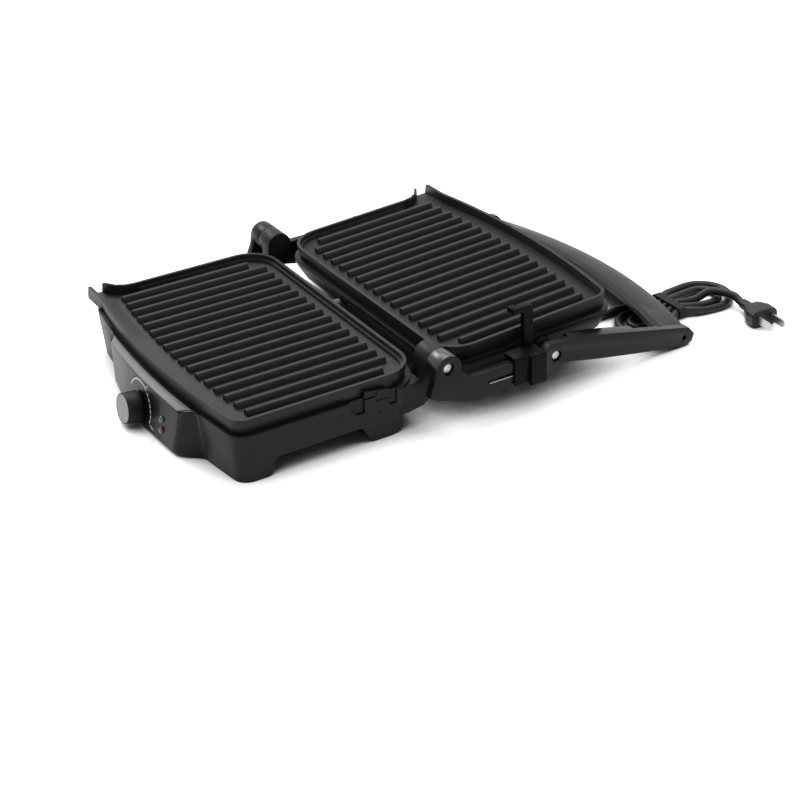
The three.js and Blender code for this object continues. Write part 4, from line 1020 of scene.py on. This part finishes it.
def catch_hole():
    """A near-black disc on the catch on the right side of the base, painted shade standing for the dark inside of its
    small hole.
    """
    start = from_hinge(170, -47.4, 24.6)
    hit, _, _, _ = skin_of(base_shell).ray_cast(start, Vector((-1, 0, 0)))
    shape = bmesh.new()
    bmesh.ops.create_cone(shape, cap_ends=True, segments=24, radius1=1.25 * mm, radius2=1.25 * mm, depth=0.5 * mm)
    placed(shape, Matrix.Translation(hit + Vector((-0.22 * mm, 0, 0))) @ Matrix.Rotation(math.pi / 2, 4, "Y"))
    return new_piece("catch_hole", shape, "mark", "base")


catch_hole()
lamp_lens("green_lamp", "green")
lamp_lens("red_lamp", "red")


def cap_mark():
    """The dark pointer mark on the knob's cap."""
    shape = bmesh.new()
    bmesh.ops.create_cone(
        shape, cap_ends=True, segments=20, radius1=0.8 * mm, radius2=0.8 * mm, depth=print_thickness)
    for vert in shape.verts:
        vert.co.x *= 2.1 if vert.co.x > 0 else 1.2
    place = Matrix.Rotation(math.radians(-50), 4, "Z") @ Matrix.Translation((6.6 * mm, 0, 0))
    placed(shape, fascia_turn @ place)
    face = knob_middle + fascia_out * ((cap_high.y - cap_low.y) / 2 - 10.9 * mm * math.sin(fascia_lean) + 0.02 * mm)
    bmesh.ops.translate(shape, vec=face, verts=shape.verts)
    return new_piece("cap_mark", shape, "mark", "knob")


cap_mark()

for name, node in frame["nodes"].items():
    node.data.materials.clear()
    node.data.materials.append(finishes[node_slot[name]])


# Stage

room_light = 0.3
floor_glow = 0.72


def seen_white(graph, plain, white):
    """A shader that the camera and reflections see as white, and that lights the object plainly."""
    seen = graph.node("ShaderNodeLightPath", output="Is Camera Ray")
    for ray in ("Is Glossy Ray", "Is Transmission Ray"):
        seen = seen.math("MAXIMUM", seen, graph.node("ShaderNodeLightPath", output=ray))
    return graph.node("ShaderNodeMixShader", None, {0: seen, 1: plain, 2: white})


def make_stage():
    """A pale floor that shows white to the camera except close under the object, and soft light from above."""
    bpy.ops.mesh.primitive_plane_add(size=8)
    floor = bpy.context.object
    floor.name = "floor"
    material = bpy.data.materials.new("floor")
    material.use_nodes = True
    graph = Graph(material.node_tree.nodes, material.node_tree.links)
    clear = graph.node("ShaderNodeAmbientOcclusion", {"samples": 16}, {"Distance": 0.2}, output="AO")
    clear = graph.node("ShaderNodeMapRange", None, {"Value": clear, "From Min": 0.25, "From Max": 0.6})
    shade = graph.node("ShaderNodeMix", {"data_type": "RGBA"}, {
        0: clear, 6: (*grey(0.3), 1), 7: (*grey(0.86), 1)}, output=2)
    plain = graph.node("ShaderNodeBsdfPrincipled", None, {
        "Base Color": shade, "Roughness": 0.9, "Specular IOR Level": 0.1})
    glow = graph.node("ShaderNodeEmission", None, {"Strength": clear * floor_glow})
    both = graph.node("ShaderNodeAddShader", None, {0: plain, 1: glow})
    shown = seen_white(graph, plain, both)
    graph.nodes.remove(graph.nodes["Principled BSDF"])
    graph.links.new(shown.socket, graph.nodes["Material Output"].inputs["Surface"])
    floor.data.materials.append(material)

    world = bpy.data.worlds.new("studio")
    bpy.context.scene.world = world
    world.use_nodes = True
    graph = Graph(world.node_tree.nodes, world.node_tree.links)
    plain = graph.node("ShaderNodeBackground", None, {"Color": (1, 1, 1, 1), "Strength": room_light})
    white = graph.node("ShaderNodeBackground", None, {"Color": (1, 1, 1, 1), "Strength": 1.0})
    shown = seen_white(graph, plain, white)
    graph.nodes.remove(graph.nodes["Background"])
    graph.links.new(shown.socket, graph.nodes["World Output"].inputs["Surface"])

    def soft_box(name, place, size, power):
        data = bpy.data.lights.new(name, "AREA")
        data.shape = "RECTANGLE"
        data.size, data.size_y = size
        data.energy = power
        box = bpy.data.objects.new(name, data)
        box.location = place
        box.rotation_mode = "QUATERNION"
        box.rotation_quaternion = (Vector((0, 0, 0)) - Vector(place)).to_track_quat("-Z", "Y")
        bpy.context.collection.objects.link(box)

    soft_box("overhead", (-0.5, 0.5, 1.7), (1.6, 1.6), 26)
    soft_box("left", (-1.55, -0.25, 1.25), (0.8, 0.55), 12)


make_stage()
bpy.context.scene.view_settings.view_transform = "Standard"
